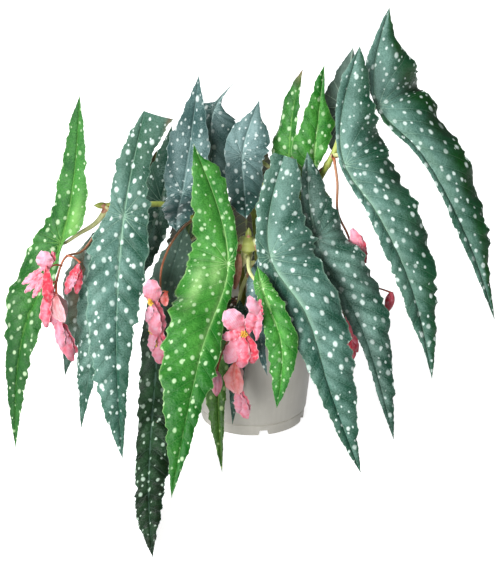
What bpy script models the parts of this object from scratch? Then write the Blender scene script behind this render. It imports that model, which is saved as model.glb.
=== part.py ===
"""A potted angel wing begonia: a plastic nursery pot full of potting mix, jointed canes with
their leaf stalks, long one-sided spotted leaves and hanging bunches of pink flowers.

The script's own unit is the millimetre, and a mesh is turned to metres when it is made.
The origin is the middle of the pot's underside, +Z is up and -Y is the front.
"""

import math

import bpy
import numpy as np

MM = 0.001
GAP = 0.3
WELD = 0.02

# Pot, from the floor up
FOOT_RADIUS = 51.0
FOOT_HEIGHT = 11.5
FOOT_WALL = 4.5
BODY_LOW_RADIUS = 53.0
BODY_TOP_RADIUS = 62.6
BAND_RADIUS = 65.0
BAND_HEIGHT = 14.0
POT_HEIGHT = 118.0
POT_WALL = 1.6
FLOOR_TOP = 6.0
FLOOR_UNDERSIDE = 3.5
PAD_RADIUS = 20.0
FLOOR_RADIUS = 47.4
INSIDE_LOW_RADIUS = 50.4
POT_SIDES = 36
NOTCH_COUNT = 6
NOTCH_WIDTH = 11.0
NOTCH_HEIGHT = 5.0
NOTCH_TURN = math.radians(-78)
DRAIN_RADIUS = 3.5
DRAIN_RING = 34.0
DRAIN_SIDES = 8

# Potting mix
SOIL_TOP = 105.0
SOIL_BUMP = 2.6
SOIL_RINGS = 6
SOIL_SIDES = 24
SOIL_CLEARANCE = 1.0
HOLE_FLOOR = 58.0
HOLE_SIDES = 10

# Canes and leaf stalks
CANE_FOOT_RADIUS = 4.2
CANE_TIP_RADIUS = 2.3
CANE_SIDES = 6
CANE_STEP = 17.0
NODE_SPACING = 34.0
NODE_SWELL = 1.28
STALK_RADIUS = 2.1
STALK_TIP_RADIUS = 1.2
STALK_SIDES = 5
STALK_END = 4.0
SHOOT_LENGTH = 13.0
SHOOT_WIDTH = 5.6

# Leaves
BLADE = 0.9
TOOTH_LENGTH = 30.0
TOOTH_DEPTH = 0.085
SHORT_LOBE = 60.0
WAVE_LENGTH = 62.0
WAVE_HEIGHT = 3.2
EDGE_DROOP = 0.16

# Flowers
PETAL = 0.9
TEPAL_SHOULDER = 0.27
OPEN_ROWS = ((0.0, 0.0), (0.95, 0.28))
PEDUNCLE_RADIUS = 1.3
PEDICEL_RADIUS = 0.9
STALK_STEP = 13.0
CUP_FOOT = 1.6

# Half widths of a plain leaf as shares of its whole width, from the ear's tip (-1) past the
# leaf stalk (0) to the blade's tip (1), on the narrow side and on the wide side.
PLAIN_OUTLINE = (
    (-1.00, 0.000, 0.000),
    (-0.80, 0.100, 0.150),
    (-0.55, 0.200, 0.330),
    (-0.30, 0.270, 0.500),
    (-0.10, 0.250, 0.620),
    (0.00, 0.080, 0.650),
    (0.06, 0.270, 0.660),
    (0.16, 0.350, 0.650),
    (0.30, 0.350, 0.600),
    (0.45, 0.320, 0.520),
    (0.60, 0.260, 0.420),
    (0.75, 0.180, 0.270),
    (0.88, 0.090, 0.130),
    (1.00, 0.000, 0.000),
)
LEAST_HALF_WIDTH = 0.35

# Outlines of the big leaves, each as (place along, left half, right half) in millimetres, as
# seen from the upper face with the tip down.
FAR_LEFT = (
    (-1, 0, 0), (-0.8, 8, 5), (-0.5, 13, 10), (-0.2, 17, 15), (0, 25, 11), (0.1, 30, 10),
    (0.25, 28, 11), (0.4, 21, 15), (0.55, 13, 13), (0.8, 6, 7), (1, 0, 0),
)
LEFT_FRONT = (
    (-1, 1, 1), (-0.94, 3, 18), (-0.75, 9, 18), (-0.55, 13, 15), (-0.3, 15, 17), (-0.1, 13, 21),
    (0, 16, 22), (0.1, 26, 25), (0.3, 27, 22), (0.5, 24, 15), (0.7, 18, 9), (0.85, 10, 5), (1, 0, 0),
)
FRONT_LOW = (
    (-1, 0, 0), (-0.75, 10, 14), (-0.4, 18, 12), (0, 17, 14), (0.15, 16, 18), (0.4, 13, 19),
    (0.6, 12, 17), (0.75, 12, 13), (0.9, 6, 6), (1, 0, 0),
)
FRONT_LEFT = (
    (-1, 0, 0), (-0.9, 6, 2), (-0.75, 14, 14), (-0.5, 24, 12), (-0.25, 29, 9), (0, 37, 4),
    (0.15, 41, 6), (0.25, 39, 9), (0.35, 35, 15), (0.5, 32, 17), (0.65, 22, 11), (0.8, 12, 8),
    (0.9, 6, 4), (1, 0, 0),
)
FRONT_RIGHT = (
    (-1, 5, 9), (-0.9, 9, 18), (-0.7, 12, 24), (-0.45, 12, 32), (-0.25, 11, 41), (0, 12, 43),
    (0.1, 18, 39), (0.25, 21, 34), (0.4, 19, 31), (0.55, 13, 27), (0.7, 9, 20), (0.85, 6, 9), (1, 0, 0),
)
RIGHT_SIDE = (
    (-1, 0, 0), (-0.75, 6, 11), (-0.5, 8, 18), (-0.2, 9, 26), (0, 8, 29), (0.15, 10, 35),
    (0.3, 10, 34), (0.45, 9, 28), (0.6, 6, 20), (0.8, 5, 10), (1, 0, 0),
)
UPPER_RIGHT = (
    (-1, 0, 0), (-0.9, 3, 9), (-0.7, 8, 21), (-0.45, 6, 33), (-0.2, 4, 42), (0, 5, 44),
    (0.1, 6, 43), (0.25, 9, 37), (0.4, 12, 34), (0.55, 12, 27), (0.7, 11, 17), (0.85, 4, 9), (1, 0, 0),
)
TOP_RIGHT = (
    (-1, 0, 0), (-0.9, 3, 5), (-0.75, 5, 14), (-0.6, 8, 32), (-0.45, 9, 41), (-0.3, 8, 47),
    (-0.1, 4, 51), (0, 4, 53), (0.1, 6, 50), (0.2, 6, 43), (0.3, 5, 40), (0.45, 6, 34),
    (0.6, 8, 25), (0.7, 7, 19), (0.8, 5, 9), (0.9, 3, 4), (1, 0, 0),
)
NEEDLE_EAR = (
    (-1, 0, 0), (-0.6, 1, 1), (-0.3, 2, 3), (-0.06, 12, 14), (0, 14, 17), (0.1, 16, 17), (0.3, 16, 14),
    (0.55, 14, 12), (0.8, 8, 8), (1, 0, 0),
)
TOP_LEFT = (
    (-1, 0, 0), (-0.75, 10, 11), (-0.45, 22, 19), (-0.1, 18, 20), (0, 15, 19), (0.15, 15, 18),
    (0.4, 14, 17), (0.7, 9, 12), (1, 0, 0),
)
TOP_MIDDLE = (
    (-1, 0, 0), (-0.8, 3, 6), (-0.45, 6, 21), (-0.1, 10, 22), (0.1, 12, 20), (0.4, 16, 17),
    (0.7, 13, 12), (0.85, 9, 6), (1, 0, 0),
)
UPRIGHT = (
    (-1, 0, 0), (0, 3, 7), (0.05, 5, 15), (0.15, 10, 22), (0.3, 13, 18), (0.45, 16, 15),
    (0.55, 10, 13), (0.7, 4, 9), (0.85, 2, 6), (1, 0, 0),
)
POT_FRONT = (
    (-1, 0, 0), (-0.3, 6, 7), (0, 7, 9), (0.12, 8, 12), (0.35, 12, 14), (0.5, 13, 15),
    (0.65, 11, 11), (0.8, 8, 7), (1, 0, 0),
)


def plain_leaf(width, wide):
    """The plain outline at a width in millimetres, wide on the side that wide names."""
    rows = []
    for along, narrow_share, wide_share in PLAIN_OUTLINE:
        left, right = narrow_share * width, wide_share * width
        rows.append((along, right, left) if wide == "left" else (along, left, right))
    return tuple(rows)


# Each leaf: colour, outline, fold of its two halves, the way it faces, and its spine, which is
# the ear's tip, the leaf stalk, points down the midrib and the blade's tip.
LEAVES = {
    "leaf_far_left": (
        "mid_green", FAR_LEFT, 0.20, (-0.30, -0.90, 0.35),
        ((-154, -52, 334), (-175, -62, 200), (-207, -98, 129), (-219, -112, 18)),
    ),
    "leaf_left": (
        "blue_green", LEFT_FRONT, 0.12, (0.0, -0.92, 0.40),
        ((-95, -72, 325), (-115, -85, 233), (-120, -138, 145), (-116, -160, 31)),
    ),
    "leaf_left_under": (
        "dark_green", plain_leaf(34, "left"), 0.20, (-0.45, -0.80, 0.30),
        ((-132, -38, 223), (-138, -52, 182), (-148, -80, 105), (-160, -96, 30)),
    ),
    "leaf_left_inner": (
        "dark_green", plain_leaf(40, "left"), 0.15, (-0.55, -0.70, 0.30),
        ((-148, -22, 196), (-153, -34, 172), (-163, -58, 123), (-176, -72, 73)),
    ),
    "leaf_left_back": (
        "dark_green", plain_leaf(44, "left"), 0.15, (-0.35, -0.80, 0.30),
        ((-77, 24, 288), (-87, 12, 216), (-118, 8, 142), (-136, 6, 74)),
    ),
    "leaf_top_left": (
        "grey_green", TOP_LEFT, 0.10, (-0.10, -0.70, 0.70),
        ((-50, 5, 340), (-66, -15, 233), (-69, -50, 226), (-68, -88, 220)),
    ),
    "leaf_top_left_rear": (
        "grey_green", NEEDLE_EAR, 0.14, (0.25, -0.80, 0.50),
        ((-19, 50, 323), (-37, 34, 301), (-40, 28, 254), (-40, 24, 203)),
    ),
    "leaf_top": (
        "grey_green", TOP_MIDDLE, 0.10, (0.05, -0.75, 0.65),
        ((6, 15, 315), (-10, -5, 266), (-8, -30, 241), (-6, -60, 223)),
    ),
    "leaf_upright_thin": (
        "mid_green", plain_leaf(28, "right"), 0.30, (-0.70, -0.70, 0.0),
        ((33, 9, 250), (34, 7, 262), (38, 16, 307), (46, 20, 343)),
    ),
    "leaf_upright_bright": (
        "bright_green", UPRIGHT, 0.16, (0.05, -0.95, 0.20),
        ((60, -10, 247), (58, -10, 256), (61, 2, 301), (66, 12, 348)),
    ),
    "leaf_front_right": (
        "blue_green", FRONT_RIGHT, 0.14, (0.10, -0.88, 0.45),
        ((28, -50, 279), (16, -75, 191), (48, -112, 149), (68, -142, 90), (96, -160, 17)),
    ),
    "leaf_front_low": (
        "deep_green", FRONT_LOW, 0.12, (-0.20, -0.80, 0.55),
        ((-63, -30, 205), (-82, -70, 142), (-90, -122, 70), (-91, -188, 27), (-82, -285, 6)),
    ),
    "leaf_front_left": (
        "bright_green", FRONT_LEFT, 0.12, (0.0, -0.75, 0.65),
        ((-53, -62, 293), (-23, -80, 186), (-45, -150, 131), (-69, -230, 30)),
    ),
    "leaf_pot_left": (
        "olive_green", plain_leaf(24, "left"), 0.20, (-0.10, -0.90, 0.30),
        ((-25, -56, 163), (-27, -76, 141), (-32, -100, 66), (-28, -142, 8)),
    ),
    "leaf_pot_shade": (
        "dark_green", plain_leaf(20, "right"), 0.20, (0.20, -0.90, 0.30),
        ((-12, -60, 144), (-15, -68, 126), (-18, -76, 66), (-19, -88, 30)),
    ),
    "leaf_right": (
        "dark_green", RIGHT_SIDE, 0.14, (0.22, -0.88, 0.40),
        ((50, -26, 276), (58, -45, 199), (98, -88, 130), (129, -118, 29)),
    ),
    "leaf_upper_right": (
        "blue_green", UPPER_RIGHT, 0.18, (0.20, -0.85, 0.45),
        ((96, -20, 372), (84, -38, 267), (113, -64, 228), (138, -84, 180), (164, -100, 82)),
    ),
    "leaf_top_right": (
        "blue_green", TOP_RIGHT, 0.14, (0.30, -0.80, 0.50),
        ((123, -5, 404), (116, -12, 315), (152, -32, 279), (191, -52, 214), (224, -66, 127)),
    ),
    "leaf_pot_bright": (
        "bright_green", POT_FRONT, 0.14, (-0.05, -0.90, 0.40),
        ((4, -92, 188), (8, -106, 174), (25, -134, 129), (21, -146, 74)),
    ),
    "leaf_pot_pale": (
        "grey_green", plain_leaf(18, "left"), 0.16, (-0.20, -0.90, 0.30),
        ((4, -66, 186), (5, -78, 169), (6, -94, 123), (13, -100, 85)),
    ),
    "leaf_back_upper_right": (
        "grey_green", plain_leaf(42, "right"), 0.14, (0.10, 0.85, 0.35),
        ((94, 38, 360), (92, 40, 300), (107, 46, 250), (128, 52, 196)),
    ),
    "leaf_back_left": (
        "blue_green", plain_leaf(56, "right"), 0.12, (-0.30, 0.86, 0.40),
        ((-32, 62, 262), (-45, 98, 188), (-62, 150, 112), (-72, 182, 24)),
    ),
    "leaf_back_right": (
        "mid_green", plain_leaf(56, "left"), 0.12, (0.25, 0.88, 0.40),
        ((28, 66, 264), (44, 102, 192), (58, 152, 118), (68, 190, 30)),
    ),
    "leaf_back": (
        "blue_green", plain_leaf(58, "left"), 0.12, (0.0, 0.85, 0.50),
        ((-4, 80, 262), (-2, 124, 208), (-6, 184, 138), (0, 226, 44)),
    ),
    "leaf_back_far_left": (
        "dark_green", plain_leaf(48, "right"), 0.16, (-0.70, 0.65, 0.30),
        ((-92, 34, 262), (-108, 54, 200), (-134, 84, 130), (-146, 104, 40)),
    ),
    "leaf_back_far_right": (
        "blue_green", plain_leaf(50, "left"), 0.14, (0.60, 0.75, 0.30),
        ((66, 60, 192), (80, 84, 150), (96, 120, 92), (106, 142, 24)),
    ),
    "leaf_back_low": (
        "olive_green", plain_leaf(44, "left"), 0.14, (-0.60, 0.70, 0.30),
        ((-58, 44, 196), (-70, 62, 150), (-84, 96, 90), (-92, 116, 22)),
    ),
}

# Each cane: its route from the foot of its hole, and its leaf stalks, each as the leaf it
# carries and the points between the cane and the leaf's back.
CANES = {
    "cane_left": (
        ((-28, -2, 60), (-28, -2, 108), (-28, -2, 114), (-36, -3, 168), (-55, -7, 206),
         (-80, -16, 222), (-112, -28, 225), (-140, -40, 229)),
        (
            ("leaf_far_left", ((-134, -38, 227), (-152, -46, 222), (-166, -50, 210))),
            ("leaf_left", ((-106, -26, 224), (-110, -48, 228))),
            ("leaf_left_under", ((-128, -34, 226), (-132, -34, 204))),
            ("leaf_left_inner", ((-128, -34, 226), (-138, -16, 212), (-146, -14, 188))),
            ("leaf_left_back", ((-60, -9, 210), (-62, 14, 216), (-74, 26, 220))),
            ("leaf_back_far_left", ((-118, -31, 226), (-124, 0, 230), (-118, 30, 216))),
        ),
        ("flowers_left", "flowers_left_middle"),
    ),
    "cane_front": (
        ((2, -20, 60), (2, -20, 108), (2, -20, 114), (0, -34, 152), (-5, -45, 184), (-4, -48, 204)),
        (
            ("leaf_front_right", ((-4, -46, 192), (6, -54, 198))),
            ("leaf_front_left", ((-4, -46, 192), (-14, -54, 198))),
            ("leaf_pot_left", ((-5, -45, 184), (-16, -52, 172), (-25, -60, 150))),
            ("leaf_pot_shade", ((-2, -38, 165), (-10, -44, 150), (-14, -52, 134))),
            ("leaf_pot_bright", ((-4, -44, 180), (-4, -66, 186), (-2, -90, 180))),
            ("leaf_pot_pale", ((-3, -41, 172), (3, -54, 178))),
        ),
        ("flowers_front",),
    ),
    "cane_top_left": (
        ((-10, 12, 60), (-10, 12, 108), (-10, 12, 114), (-14, 12, 170), (-30, 8, 212), (-44, -1, 238)),
        (
            ("leaf_top_left", ((-38, 4, 228), (-54, 4, 236))),
            ("leaf_front_low", ((-26, 9, 203), (-54, -24, 176), (-74, -44, 158))),
            ("leaf_back_low", ((-18, 11, 185), (-46, 28, 180), (-62, 44, 166))),
        ),
        (),
    ),
    "cane_middle": (
        ((18, 2, 60), (18, 2, 108), (18, 2, 114), (20, 6, 180), (22, 12, 232), (19, 14, 250)),
        (
            ("leaf_top", ((21, 13, 246), (4, 14, 258))),
            ("leaf_top_left_rear", ((22, 11, 222), (0, 36, 236), (-32, 50, 264))),
            ("leaf_upright_thin", ((22, 12, 230), (34, 16, 246))),
        ),
        (),
    ),
    "cane_right": (
        ((34, 8, 60), (34, 8, 108), (34, 8, 114), (42, 8, 180), (58, 2, 232), (74, -4, 266),
         (88, 3, 296), (98, 8, 322)),
        (
            ("leaf_upright_bright", ((68, -1, 254), (62, 2, 248))),
            ("leaf_upper_right", ((74, -4, 266), (80, -16, 270))),
            ("leaf_top_right", ((90, 4, 300), (104, 6, 312))),
            ("leaf_right", ((52, 4, 214), (56, -20, 212))),
            ("leaf_back_upper_right", ((82, 0, 284), (86, 14, 294), (90, 24, 296))),
        ),
        ("flowers_right",),
    ),
    "cane_back": (
        ((6, 34, 60), (6, 34, 108), (6, 34, 114), (4, 52, 162), (0, 68, 200), (-2, 78, 226)),
        (
            ("leaf_back_left", ((0, 68, 200), (-24, 78, 204), (-40, 88, 196))),
            ("leaf_back_right", ((0, 66, 194), (24, 78, 206), (38, 90, 200))),
            ("leaf_back", ((-1, 73, 214), (-1, 98, 222))),
            ("leaf_back_far_right", ((4, 54, 168), (36, 52, 170), (64, 62, 160))),
        ),
        ("flowers_back",),
    ),
}

# Each flower bunch: its main stalk's points, then its flowers as kind, the middle or the top of
# the flower, the way it faces or hangs, and its length.
BUNCHES = {
    "flowers_left": (
        ((-133, -47, 222), (-143, -66, 210), (-153, -96, 203), (-165, -116, 204), (-172, -124, 186)),
        (
            ("bell", (-180, -126, 212), (0.03, -0.10, -1.0), 74),
            ("fingers", (-182, -132, 198), (-0.80, -0.25, -0.50), 36),
            ("bell", (-169, -124, 172), (0.16, -0.10, -1.0), 62),
            ("bell", (-152, -116, 200), (-0.30, -0.20, -1.0), 42),
            ("open", (-166, -136, 182), (0.25, -0.9, 0.1), 26),
        ),
    ),
    "flowers_left_middle": (
        ((-56, -16, 208), (-66, -44, 207), (-77, -78, 198), (-82, -94, 186), (-83, -98, 164)),
        (
            ("open", (-89, -112, 172), (-0.55, -0.8, 0.25), 38),
            ("open", (-88, -120, 136), (-0.60, -0.8, 0.05), 34),
            ("bell", (-80, -106, 142), (-0.02, -0.25, -1.0), 42),
        ),
    ),
    "flowers_front": (
        ((-10, -53, 178), (-22, -68, 166), (-27, -88, 140), (-20, -104, 126)),
        (
            ("open", (-10, -128, 137), (0.02, -0.95, 0.3), 47),
            ("bell", (-3, -114, 170), (0.02, -0.10, -1.0), 50),
            ("bell", (-20, -116, 106), (0.24, -0.10, -1.0), 56),
            ("bud", (-33, -116, 84), (0.0, -0.10, -1.0), 24),
        ),
    ),
    "flowers_right": (
        ((76, -14, 262), (78, -24, 248), (80, -20, 214), (90, -20, 192), (96, -26, 160), (96, -30, 128)),
        (
            ("open", (95, -24, 188), (0.45, -0.8, 0.3), 32),
            ("bell", (94, -32, 122), (0.15, -0.10, -1.0), 46),
            ("bud", (128, -46, 136), (-0.2, -0.2, -0.9), 20),
        ),
    ),
    "flowers_back": (
        ((-6, 84, 224), (-20, 100, 232), (-36, 122, 218), (-40, 136, 194)),
        (
            ("open", (-40, 150, 200), (0.0, 0.9, 0.3), 36),
            ("bell", (-52, 140, 188), (-0.1, 0.15, -1.0), 46),
            ("bell", (-30, 142, 180), (0.1, 0.15, -1.0), 40),
        ),
    ),
}

# Base colours as linear red, green and blue
COLOURS = {
    "blue_green": (0.030, 0.085, 0.060),
    "grey_green": (0.075, 0.120, 0.110),
    "dark_green": (0.018, 0.060, 0.040),
    "deep_green": (0.010, 0.040, 0.015),
    "mid_green": (0.025, 0.130, 0.015),
    "bright_green": (0.070, 0.270, 0.015),
    "olive_green": (0.045, 0.090, 0.012),
    "cane_green": (0.230, 0.260, 0.070),
    "flower_pink": (0.820, 0.110, 0.180),
    "pot_grey": (0.420, 0.390, 0.340),
    "soil_brown": (0.045, 0.028, 0.018),
}


def clear_scene():
    for obj in list(bpy.data.objects):
        bpy.data.objects.remove(obj, do_unlink=True)


def material(name, roughness):
    made = bpy.data.materials.get(name) or bpy.data.materials.new(name)
    made.use_nodes = True
    shader = made.node_tree.nodes["Principled BSDF"]
    shader.inputs["Base Color"].default_value = (*COLOURS[name], 1.0)
    shader.inputs["Roughness"].default_value = roughness
    shader.inputs["Metallic"].default_value = 0.0
    return made


def mesh_object(name, points, faces):
    """An object from points in millimetres and faces as tuples of point numbers."""
    mesh = bpy.data.meshes.new(name)
    mesh.from_pydata([tuple(p) for p in np.asarray(points) * MM], [], [tuple(f) for f in faces])
    mesh.validate()
    obj = bpy.data.objects.new(name, mesh)
    bpy.context.scene.collection.objects.link(obj)
    return obj


def unit(vector):
    vector = np.asarray(vector, float)
    return vector / np.linalg.norm(vector, axis=-1, keepdims=True)


def smooth_curve(points, at):
    """Points and directions at the given lengths of a smooth curve through the points.

    The curve is a cubic in each span. Its slope at a point is the mean of the two spans'
    slopes, each weighted by the other's length, and runs straight out at the two ends.
    """
    points = np.asarray(points, float)
    spans = np.linalg.norm(np.diff(points, axis=0), axis=1)
    knots = np.concatenate([[0.0], np.cumsum(spans)])
    slopes = np.diff(points, axis=0) / spans[:, None]
    bend = (slopes[:-1] * spans[1:, None] + slopes[1:] * spans[:-1, None]) / (
        spans[:-1] + spans[1:]
    )[:, None]
    first = 1.5 * slopes[0] - 0.5 * bend[0]
    last = 1.5 * slopes[-1] - 0.5 * bend[-1]
    slope = np.vstack([first, bend, last])
    at = np.asarray(at, float)
    span = np.clip(np.searchsorted(knots, at, side="right") - 1, 0, len(spans) - 1)
    length = spans[span][:, None]
    t = ((at - knots[span]) / spans[span])[:, None]
    a, b = points[span], points[span + 1]
    u, v = slope[span] * length, slope[span + 1] * length
    place = (2 * t**3 - 3 * t**2 + 1) * a + (t**3 - 2 * t**2 + t) * u
    place += (3 * t**2 - 2 * t**3) * b + (t**3 - t**2) * v
    going = (6 * t**2 - 6 * t) * (a - b) + (3 * t**2 - 4 * t + 1) * u + (3 * t**2 - 2 * t) * v
    return place, unit(going)


def curve_length(points):
    return np.linalg.norm(np.diff(np.asarray(points, float), axis=0), axis=1).sum()


def joined(name, pieces):
    """One object from closed pieces that overlap, by a Boolean union on a collection."""
    first, rest = pieces[0], pieces[1:]
    group = bpy.data.collections.new(name + "_pieces")
    bpy.context.scene.collection.children.link(group)
    for piece in rest:
        bpy.context.scene.collection.objects.unlink(piece)
        group.objects.link(piece)
    union = first.modifiers.new("union", "BOOLEAN")
    union.operation = "UNION"
    union.operand_type = "COLLECTION"
    union.collection = group
    union.solver = "MANIFOLD"
    weld = first.modifiers.new("weld", "WELD")
    weld.merge_threshold = WELD * MM
    apply_modifiers(first)
    for piece in rest:
        bpy.data.objects.remove(piece, do_unlink=True)
    bpy.data.collections.remove(group)
    first.name = name
    return first


def apply_modifiers(obj):
    graph = bpy.context.evaluated_depsgraph_get()
    solid = bpy.data.meshes.new_from_object(obj.evaluated_get(graph))
    obj.modifiers.clear()
    obj.data = solid


def cut(obj, cutter, solver="EXACT"):
    cutter.hide_render = True
    cutter.display_type = "WIRE"
    hole = obj.modifiers.new("cut", "BOOLEAN")
    hole.operation = "DIFFERENCE"
    hole.object = cutter
    hole.solver = solver
    apply_modifiers(obj)
    bpy.data.objects.remove(cutter, do_unlink=True)


def finish(obj, colour, roughness, smooth_angle=40):
    obj.data.materials.clear()
    obj.data.materials.append(material(colour, roughness))
    obj.data.shade_smooth()
    obj.data.set_sharp_from_angle(angle=math.radians(smooth_angle))
    return obj


def tube(name, route, radii, sides, step):
    """A closed tube round a smooth curve, its rings carried along without twist."""
    length = curve_length(route)
    count = max(3, int(round(length / step)) + 1)
    at = np.linspace(0, length, count)
    middles, going = smooth_curve(route, at)
    radius = radii(at / length)
    side = np.cross(going[0], (0.31, 0.17, 0.94))
    turn = np.linspace(0, 2 * math.pi, sides, endpoint=False)
    points = []
    for middle, ahead, size in zip(middles, going, radius):
        side = unit(side - np.dot(side, ahead) * ahead)
        up = np.cross(ahead, side)
        points.append(middle + size * (np.outer(np.cos(turn), side) + np.outer(np.sin(turn), up)))
    faces = [tuple(range(sides))[::-1]]
    for ring in range(count - 1):
        for k in range(sides):
            a, b = ring * sides + k, ring * sides + (k + 1) % sides
            faces.append((a, b, b + sides, a + sides))
    faces.append(tuple(range((count - 1) * sides, count * sides)))
    return mesh_object(name, np.vstack(points), faces)


def turned(name, profile, sides):
    """A solid from a closed profile of (radius, height) turned round the Z axis.

    The profile's first and last points are on the axis.
    """
    turn = np.linspace(0, 2 * math.pi, sides, endpoint=False)
    points = [(0, 0, profile[0][1])]
    for radius, height in profile[1:-1]:
        points += [(radius * math.cos(a), radius * math.sin(a), height) for a in turn]
    points.append((0, 0, profile[-1][1]))
    faces = [(0, 1 + (k + 1) % sides, 1 + k) for k in range(sides)]
    for ring in range(len(profile) - 3):
        for k in range(sides):
            a, b = 1 + ring * sides + k, 1 + ring * sides + (k + 1) % sides
            faces.append((a, b, b + sides, a + sides))
    top, last = len(points) - 1, 1 + (len(profile) - 3) * sides
    faces += [(last + k, last + (k + 1) % sides, top) for k in range(sides)]
    return mesh_object(name, points, faces)


def build_pot():
    foot_inside = FOOT_RADIUS - FOOT_WALL
    profile = (
        (0, 0),
        (PAD_RADIUS, 0),
        (PAD_RADIUS + 1.5, FLOOR_UNDERSIDE),
        (foot_inside - 1.0, FLOOR_UNDERSIDE),
        (foot_inside, 0),
        (FOOT_RADIUS, 0),
        (FOOT_RADIUS + 0.6, FOOT_HEIGHT),
        (BODY_LOW_RADIUS, FOOT_HEIGHT + 0.8),
        (BODY_TOP_RADIUS, POT_HEIGHT - BAND_HEIGHT),
        (BAND_RADIUS, POT_HEIGHT - BAND_HEIGHT + 1.5),
        (BAND_RADIUS, POT_HEIGHT - 0.5),
        (BAND_RADIUS - POT_WALL, POT_HEIGHT),
        (BAND_RADIUS - POT_WALL - 0.4, POT_HEIGHT - BAND_HEIGHT + 3.0),
        (BODY_TOP_RADIUS - POT_WALL, POT_HEIGHT - BAND_HEIGHT - 1.0),
        (INSIDE_LOW_RADIUS, FLOOR_TOP + 3.0),
        (FLOOR_RADIUS, FLOOR_TOP),
        (0, FLOOR_TOP),
    )
    pot = turned("pot", profile, POT_SIDES)
    for k in range(NOTCH_COUNT):
        turn = NOTCH_TURN + 2 * math.pi * k / NOTCH_COUNT
        cut(pot, notch_cutter(turn))
        cut(pot, drain_cutter(turn + math.pi / NOTCH_COUNT))
    return finish(pot, "pot_grey", 0.5, 30)


def notch_cutter(turn):
    """A block across the foot ring, low enough to leave the wall above it whole."""
    outer, inner = FOOT_RADIUS + 4, FOOT_RADIUS - FOOT_WALL - 2.5
    half, top = NOTCH_WIDTH / 2, NOTCH_HEIGHT
    along = np.array((math.cos(turn), math.sin(turn), 0))
    across = np.array((-math.sin(turn), math.cos(turn), 0))
    corners = []
    for height, narrow in ((-2, 1.0), (top, 0.72)):
        for reach, side in ((inner, -1), (outer, -1), (outer, 1), (inner, 1)):
            corners.append(along * reach + across * side * half * narrow + (0, 0, height))
    faces = ((3, 2, 1, 0), (4, 5, 6, 7), (0, 1, 5, 4), (1, 2, 6, 5), (2, 3, 7, 6), (3, 0, 4, 7))
    return mesh_object("notch", corners, faces)


def drain_cutter(turn):
    middle = (DRAIN_RING * math.cos(turn), DRAIN_RING * math.sin(turn))
    return post("drain", middle, DRAIN_RADIUS, (-1.0, FLOOR_TOP + 3), DRAIN_SIDES)


def post(name, middle, radius, heights, sides):
    """An upright closed post, used as a cutter."""
    turn = np.linspace(0, 2 * math.pi, sides, endpoint=False)
    points = [
        (middle[0] + radius * math.cos(a), middle[1] + radius * math.sin(a), height)
        for height in heights
        for a in turn
    ]
    faces = [tuple(range(sides))[::-1], tuple(range(sides, 2 * sides))]
    for k in range(sides):
        after = (k + 1) % sides
        faces.append((k, after, sides + after, sides + k))
    return mesh_object(name, points, faces)


def soil_height(x, y):
    """The top of the potting mix: a few crossing waves, higher in the middle."""
    bump = np.sin(x / 7.3 + 0.8) * np.cos(y / 8.9 - 0.4) + 0.6 * np.sin((x + 1.7 * y) / 5.1)
    return SOIL_TOP + SOIL_BUMP * (0.45 * bump + 0.5 - (x**2 + y**2) / BODY_TOP_RADIUS**2)


def build_soil():
    """A closed body of potting mix: a plain outside and rings that follow the bumpy top."""
    bottom = FLOOR_TOP + GAP
    high = BODY_TOP_RADIUS - POT_WALL - SOIL_CLEARANCE
    turn = np.linspace(0, 2 * math.pi, SOIL_SIDES, endpoint=False)
    points = [(0, 0, bottom)]
    rings = (
        (FLOOR_RADIUS - SOIL_CLEARANCE, bottom),
        (INSIDE_LOW_RADIUS - 1.4 * SOIL_CLEARANCE, bottom + 4.0),
        (high, POT_HEIGHT - BAND_HEIGHT - 3.0),
    )
    for radius, height in rings:
        points += [(radius * math.cos(a), radius * math.sin(a), height) for a in turn]
    for ring in range(SOIL_RINGS, 0, -1):
        radius = high * ring / SOIL_RINGS
        for a in turn:
            x, y = radius * math.cos(a), radius * math.sin(a)
            points.append((x, y, soil_height(x, y)))
    points.append((0, 0, soil_height(0, 0)))
    faces = [(0, 1 + (k + 1) % SOIL_SIDES, 1 + k) for k in range(SOIL_SIDES)]
    count = len(rings) + SOIL_RINGS
    for ring in range(count - 1):
        for k in range(SOIL_SIDES):
            a = 1 + ring * SOIL_SIDES + k
            b = 1 + ring * SOIL_SIDES + (k + 1) % SOIL_SIDES
            faces.append((a, b, b + SOIL_SIDES, a + SOIL_SIDES))
    last, top = 1 + (count - 1) * SOIL_SIDES, len(points) - 1
    faces += [(last + k, last + (k + 1) % SOIL_SIDES, top) for k in range(SOIL_SIDES)]
    soil = mesh_object("soil", points, faces)
    for route, *_ in CANES.values():
        cut(soil, hole_cutter(route[0]))
    return finish(soil, "soil_brown", 0.95, 180)


def hole_cutter(foot):
    return post("hole", foot, CANE_FOOT_RADIUS + 2 * GAP, (HOLE_FLOOR, POT_HEIGHT + 5), HOLE_SIDES)


def lobe_lengths(leaf):
    """A leaf's length from the ear's tip to the leaf stalk, and from there to the blade's tip."""
    spine = LEAVES[leaf][4]
    ear = np.linalg.norm(np.subtract(spine[1], spine[0]))
    return ear, curve_length(spine) - ear


def leaf_frame(leaf, along):
    """Midrib points, face normals, sideways directions and lengths down the midrib of a leaf.

    along runs from -1 at the ear's tip, through 0 at the leaf stalk, to 1 at the blade's tip.
    """
    facing, spine = LEAVES[leaf][3:]
    ear, blade = lobe_lengths(leaf)
    along = np.asarray(along, float)
    at = np.where(along < 0, ear * (1 + along), ear + blade * along)
    middle, going = smooth_curve(spine, at)
    facing = unit(facing)
    normal = unit(facing - (going @ facing)[:, None] * going)
    return middle, normal, np.cross(normal, going), at


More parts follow.
